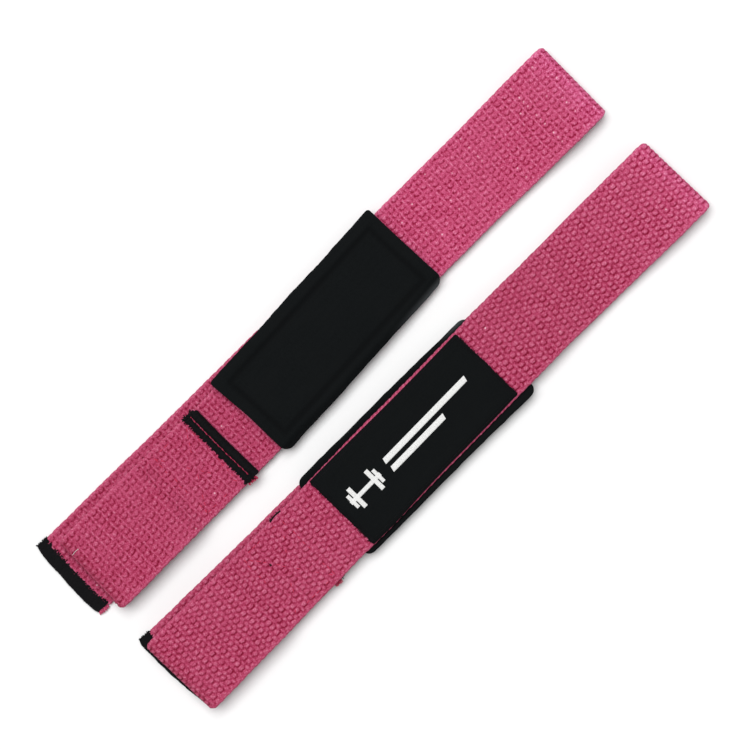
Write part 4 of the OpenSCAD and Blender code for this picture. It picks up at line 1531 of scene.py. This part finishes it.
def build_box_stitch(strap):
    """A sewn rectangle with both diagonals."""
    name, cx = strap.name, strap.cx
    face = strap.box("loop_box_stitch")[0][2]
    middle = float(strap.middle_y(strap.end, cx - 80.0))
    x0, x1 = (cx - 92.0, cx - 72.6) if strap.is_a else (cx - 90.4, cx - 66.8)
    half = WEB_HALF - 3.4
    seed = 150 + strap.seed
    threads = Threads()
    t = np.linspace(0, 1, 7)
    lines = [
        ((x0, -half), (x0, half)), ((x1, -half), (x1, half)),
        ((x0, -half), (x1, -half)), ((x0, half), (x1, half)),
        ((x0, -half), (x1, half)), ((x0, half), (x1, -half)),
    ]
    for row, (start, end) in enumerate(np.array(lines)):
        course = end - start
        count = max(1, int(np.linalg.norm(course) / 2.9))
        for i in range(count):
            # most stitches have sunk between the yarns
            seen = hash2(i, row + 3, seed + 1)
            if seen < (0.35 if row < 2 else 0.55):
                continue
            place = start + course * (i + 0.12) / count
            reach = start + course * (i + 0.30 + 0.5 * seen) / count - place
            x = place[0] + reach[0] * t + 0.7 * (hash2(i, row, seed) - 0.5)
            y = middle + place[1] + reach[1] * t
            z = face + 0.18 * np.sin(math.pi * t) - 0.24
            z = z + 0.08 * (hash2(i, row + 9, seed) - 0.5)
            threads.thread(points(x, y, z), 0.22, flat=0.8)
    ob = threads.make(name + "_loop_box_thread", MAT_PINK)
    register(ob, name + "_loop", name + "_loop_box_stitch")


# ---------------------------------------------------------------- loose ends
def build_loose_filament(strap):
    """A pale broken filament that lies on strap a's loop, where it turns."""
    threads = Threads()
    across = 11.6
    along = np.linspace(strap.loop_end - 2.6, strap.loop_end + 0.9, 16)
    x, z, normal_x, normal_z = strap.centre(along)
    y = float(strap.middle_y(strap.end, strap.loop_x)) + across
    y = y + 0.25 * np.sin(np.linspace(0, 3, 16))
    lift = strap.thick / 2 + 0.05
    x = x + normal_x * lift + strap.skew(along, x) * across
    threads.thread(points(x, y, z + normal_z * lift), 0.10, sides=5)
    register(threads.make("a_loose_filament", MAT_WHITE), "a_loop")


def build_loose_thread(strap):
    """A short end of black thread that lies on strap b's +Y edge, by the bar tack below."""
    threads = Threads()
    cx = strap.cx
    y = float(strap.middle_y(strap.loop_start, cx - 67.7)) + 19.75
    top = strap.main + strap.thick
    # x from the pad's middle, y from the edge, z from the webbing's top
    stations = np.array([
        (-70.9, -0.6, -0.7), (-70.5, -0.5, -0.25), (-69.4, -0.2, -0.22), (-68.0, 0.05, -0.28),
        (-66.6, 0.06, -0.32), (-65.3, -0.02, -0.3), (-64.7, -0.12, -0.3), (-64.4, -0.4, -0.7),
    ]) + [cx, y, top]
    # a Catmull-Rom curve through the stations
    t = np.linspace(0, len(stations) - 1, 28)
    i = np.clip(t.astype(int), 0, len(stations) - 2)
    t = (t - i)[:, None]
    before, after = stations[:1] * 2 - stations[1:2], stations[-1:] * 2 - stations[-2:-1]
    padded = np.concatenate([before, stations, after])
    p0, p1, p2, p3 = (padded[i + n] for n in range(4))
    square = (2 * p0 - 5 * p1 + 4 * p2 - p3) * t**2
    cube = (3 * p1 - p0 - 3 * p2 + p3) * t**3
    threads.thread(0.5 * (2 * p1 + (p2 - p0) * t + square + cube), 0.34, sides=8)
    # a dark knot of the same thread nearer to the -Y side
    random = np.random.RandomState(91)
    t = np.linspace(0, 1, 5)[:, None]
    for _ in range(9):
        knot_x = cx - 83.6 + random.uniform(-0.3, 0.3)
        knot_y = y - 19.75 + 6.0 + random.uniform(-0.3, 0.3)
        start = np.array([knot_x, knot_y, top - 0.1])
        reach = np.array([random.uniform(-r, r) for r in (0.6, 0.5, 0.1)])
        line = start + reach * t + np.array([0, 0, 0.12]) * np.sin(math.pi * t)
        threads.thread(line, 0.16, sides=5)
    register(threads.make("b_loose_thread", MAT_BLACK), "b_loop")


STRAP_A, STRAP_B = Strap("a"), Strap("b")
for strap in (STRAP_A, STRAP_B):
    build_webbing(strap)
    build_pad(strap)
    build_label(strap)
    build_binding(strap)
    build_bar_tack(strap)
    build_box_stitch(strap)
build_loose_thread(STRAP_B)
build_loose_filament(STRAP_A)


# ---------------------------------------------------------------- floor, light, camera
def build_floor():
    half = 6000
    material = bpy.data.materials.new("floor_look")
    corners = [(-half, -half, 0), (half, -half, 0), (half, half, 0), (-half, half, 0)]
    floor = mesh_object("floor", corners, [np.array([[0, 1, 2, 3]])], material)
    material.use_nodes = True
    inputs = material.node_tree.nodes["Principled BSDF"].inputs
    inputs["Base Color"].default_value = (0.77, 0.77, 0.77, 1)
    inputs["Roughness"].default_value = 0.9
    inputs["Specular IOR Level"].default_value = 0.1
    floor.location.z = -0.0002


def build_world():
    world = bpy.data.worlds.new("studio")
    bpy.context.scene.world = world
    world.use_nodes = True
    inputs = world.node_tree.nodes["Background"].inputs
    inputs["Color"].default_value = (1.0, 1.0, 1.0, 1)
    inputs["Strength"].default_value = 0.52


def build_light():
    place, target = Vector((0.12, 0.96, 3.06)), Vector((0, -0.03, 0))
    data = bpy.data.lights.new("key", "AREA")
    data.shape = "RECTANGLE"
    data.size, data.size_y = 2.6, 1.84
    data.energy = 110.0
    light = bpy.data.objects.new("key", data)
    bpy.context.scene.collection.objects.link(light)
    light.location = place
    light.rotation_euler = (target - place).to_track_quat("-Z", "Y").to_euler()


def build_camera():
    """Looks straight down, turned about Z."""
    view_width = 0.3243  # width seen at the height the camera is set for
    view_x, view_y, view_z = 0.0013, -0.0280, 0.006
    right_x, right_y = 0.71045, -0.70375
    data = bpy.data.cameras.new("camera")
    data.lens = 100
    data.sensor_width = 36
    data.clip_end = 20
    camera = bpy.data.objects.new("camera", data)
    bpy.context.scene.collection.objects.link(camera)
    distance = view_width * 100 / 36  # lens over sensor width
    camera.matrix_world = Matrix((
        (right_x, -right_y, 0, view_x),
        (right_y, right_x, 0, view_y),
        (0, 0, 1, view_z + distance),
        (0, 0, 0, 1),
    ))
    bpy.context.scene.camera = camera


build_floor()
build_world()
build_light()
build_camera()
bpy.context.scene.view_settings.view_transform = "Standard"
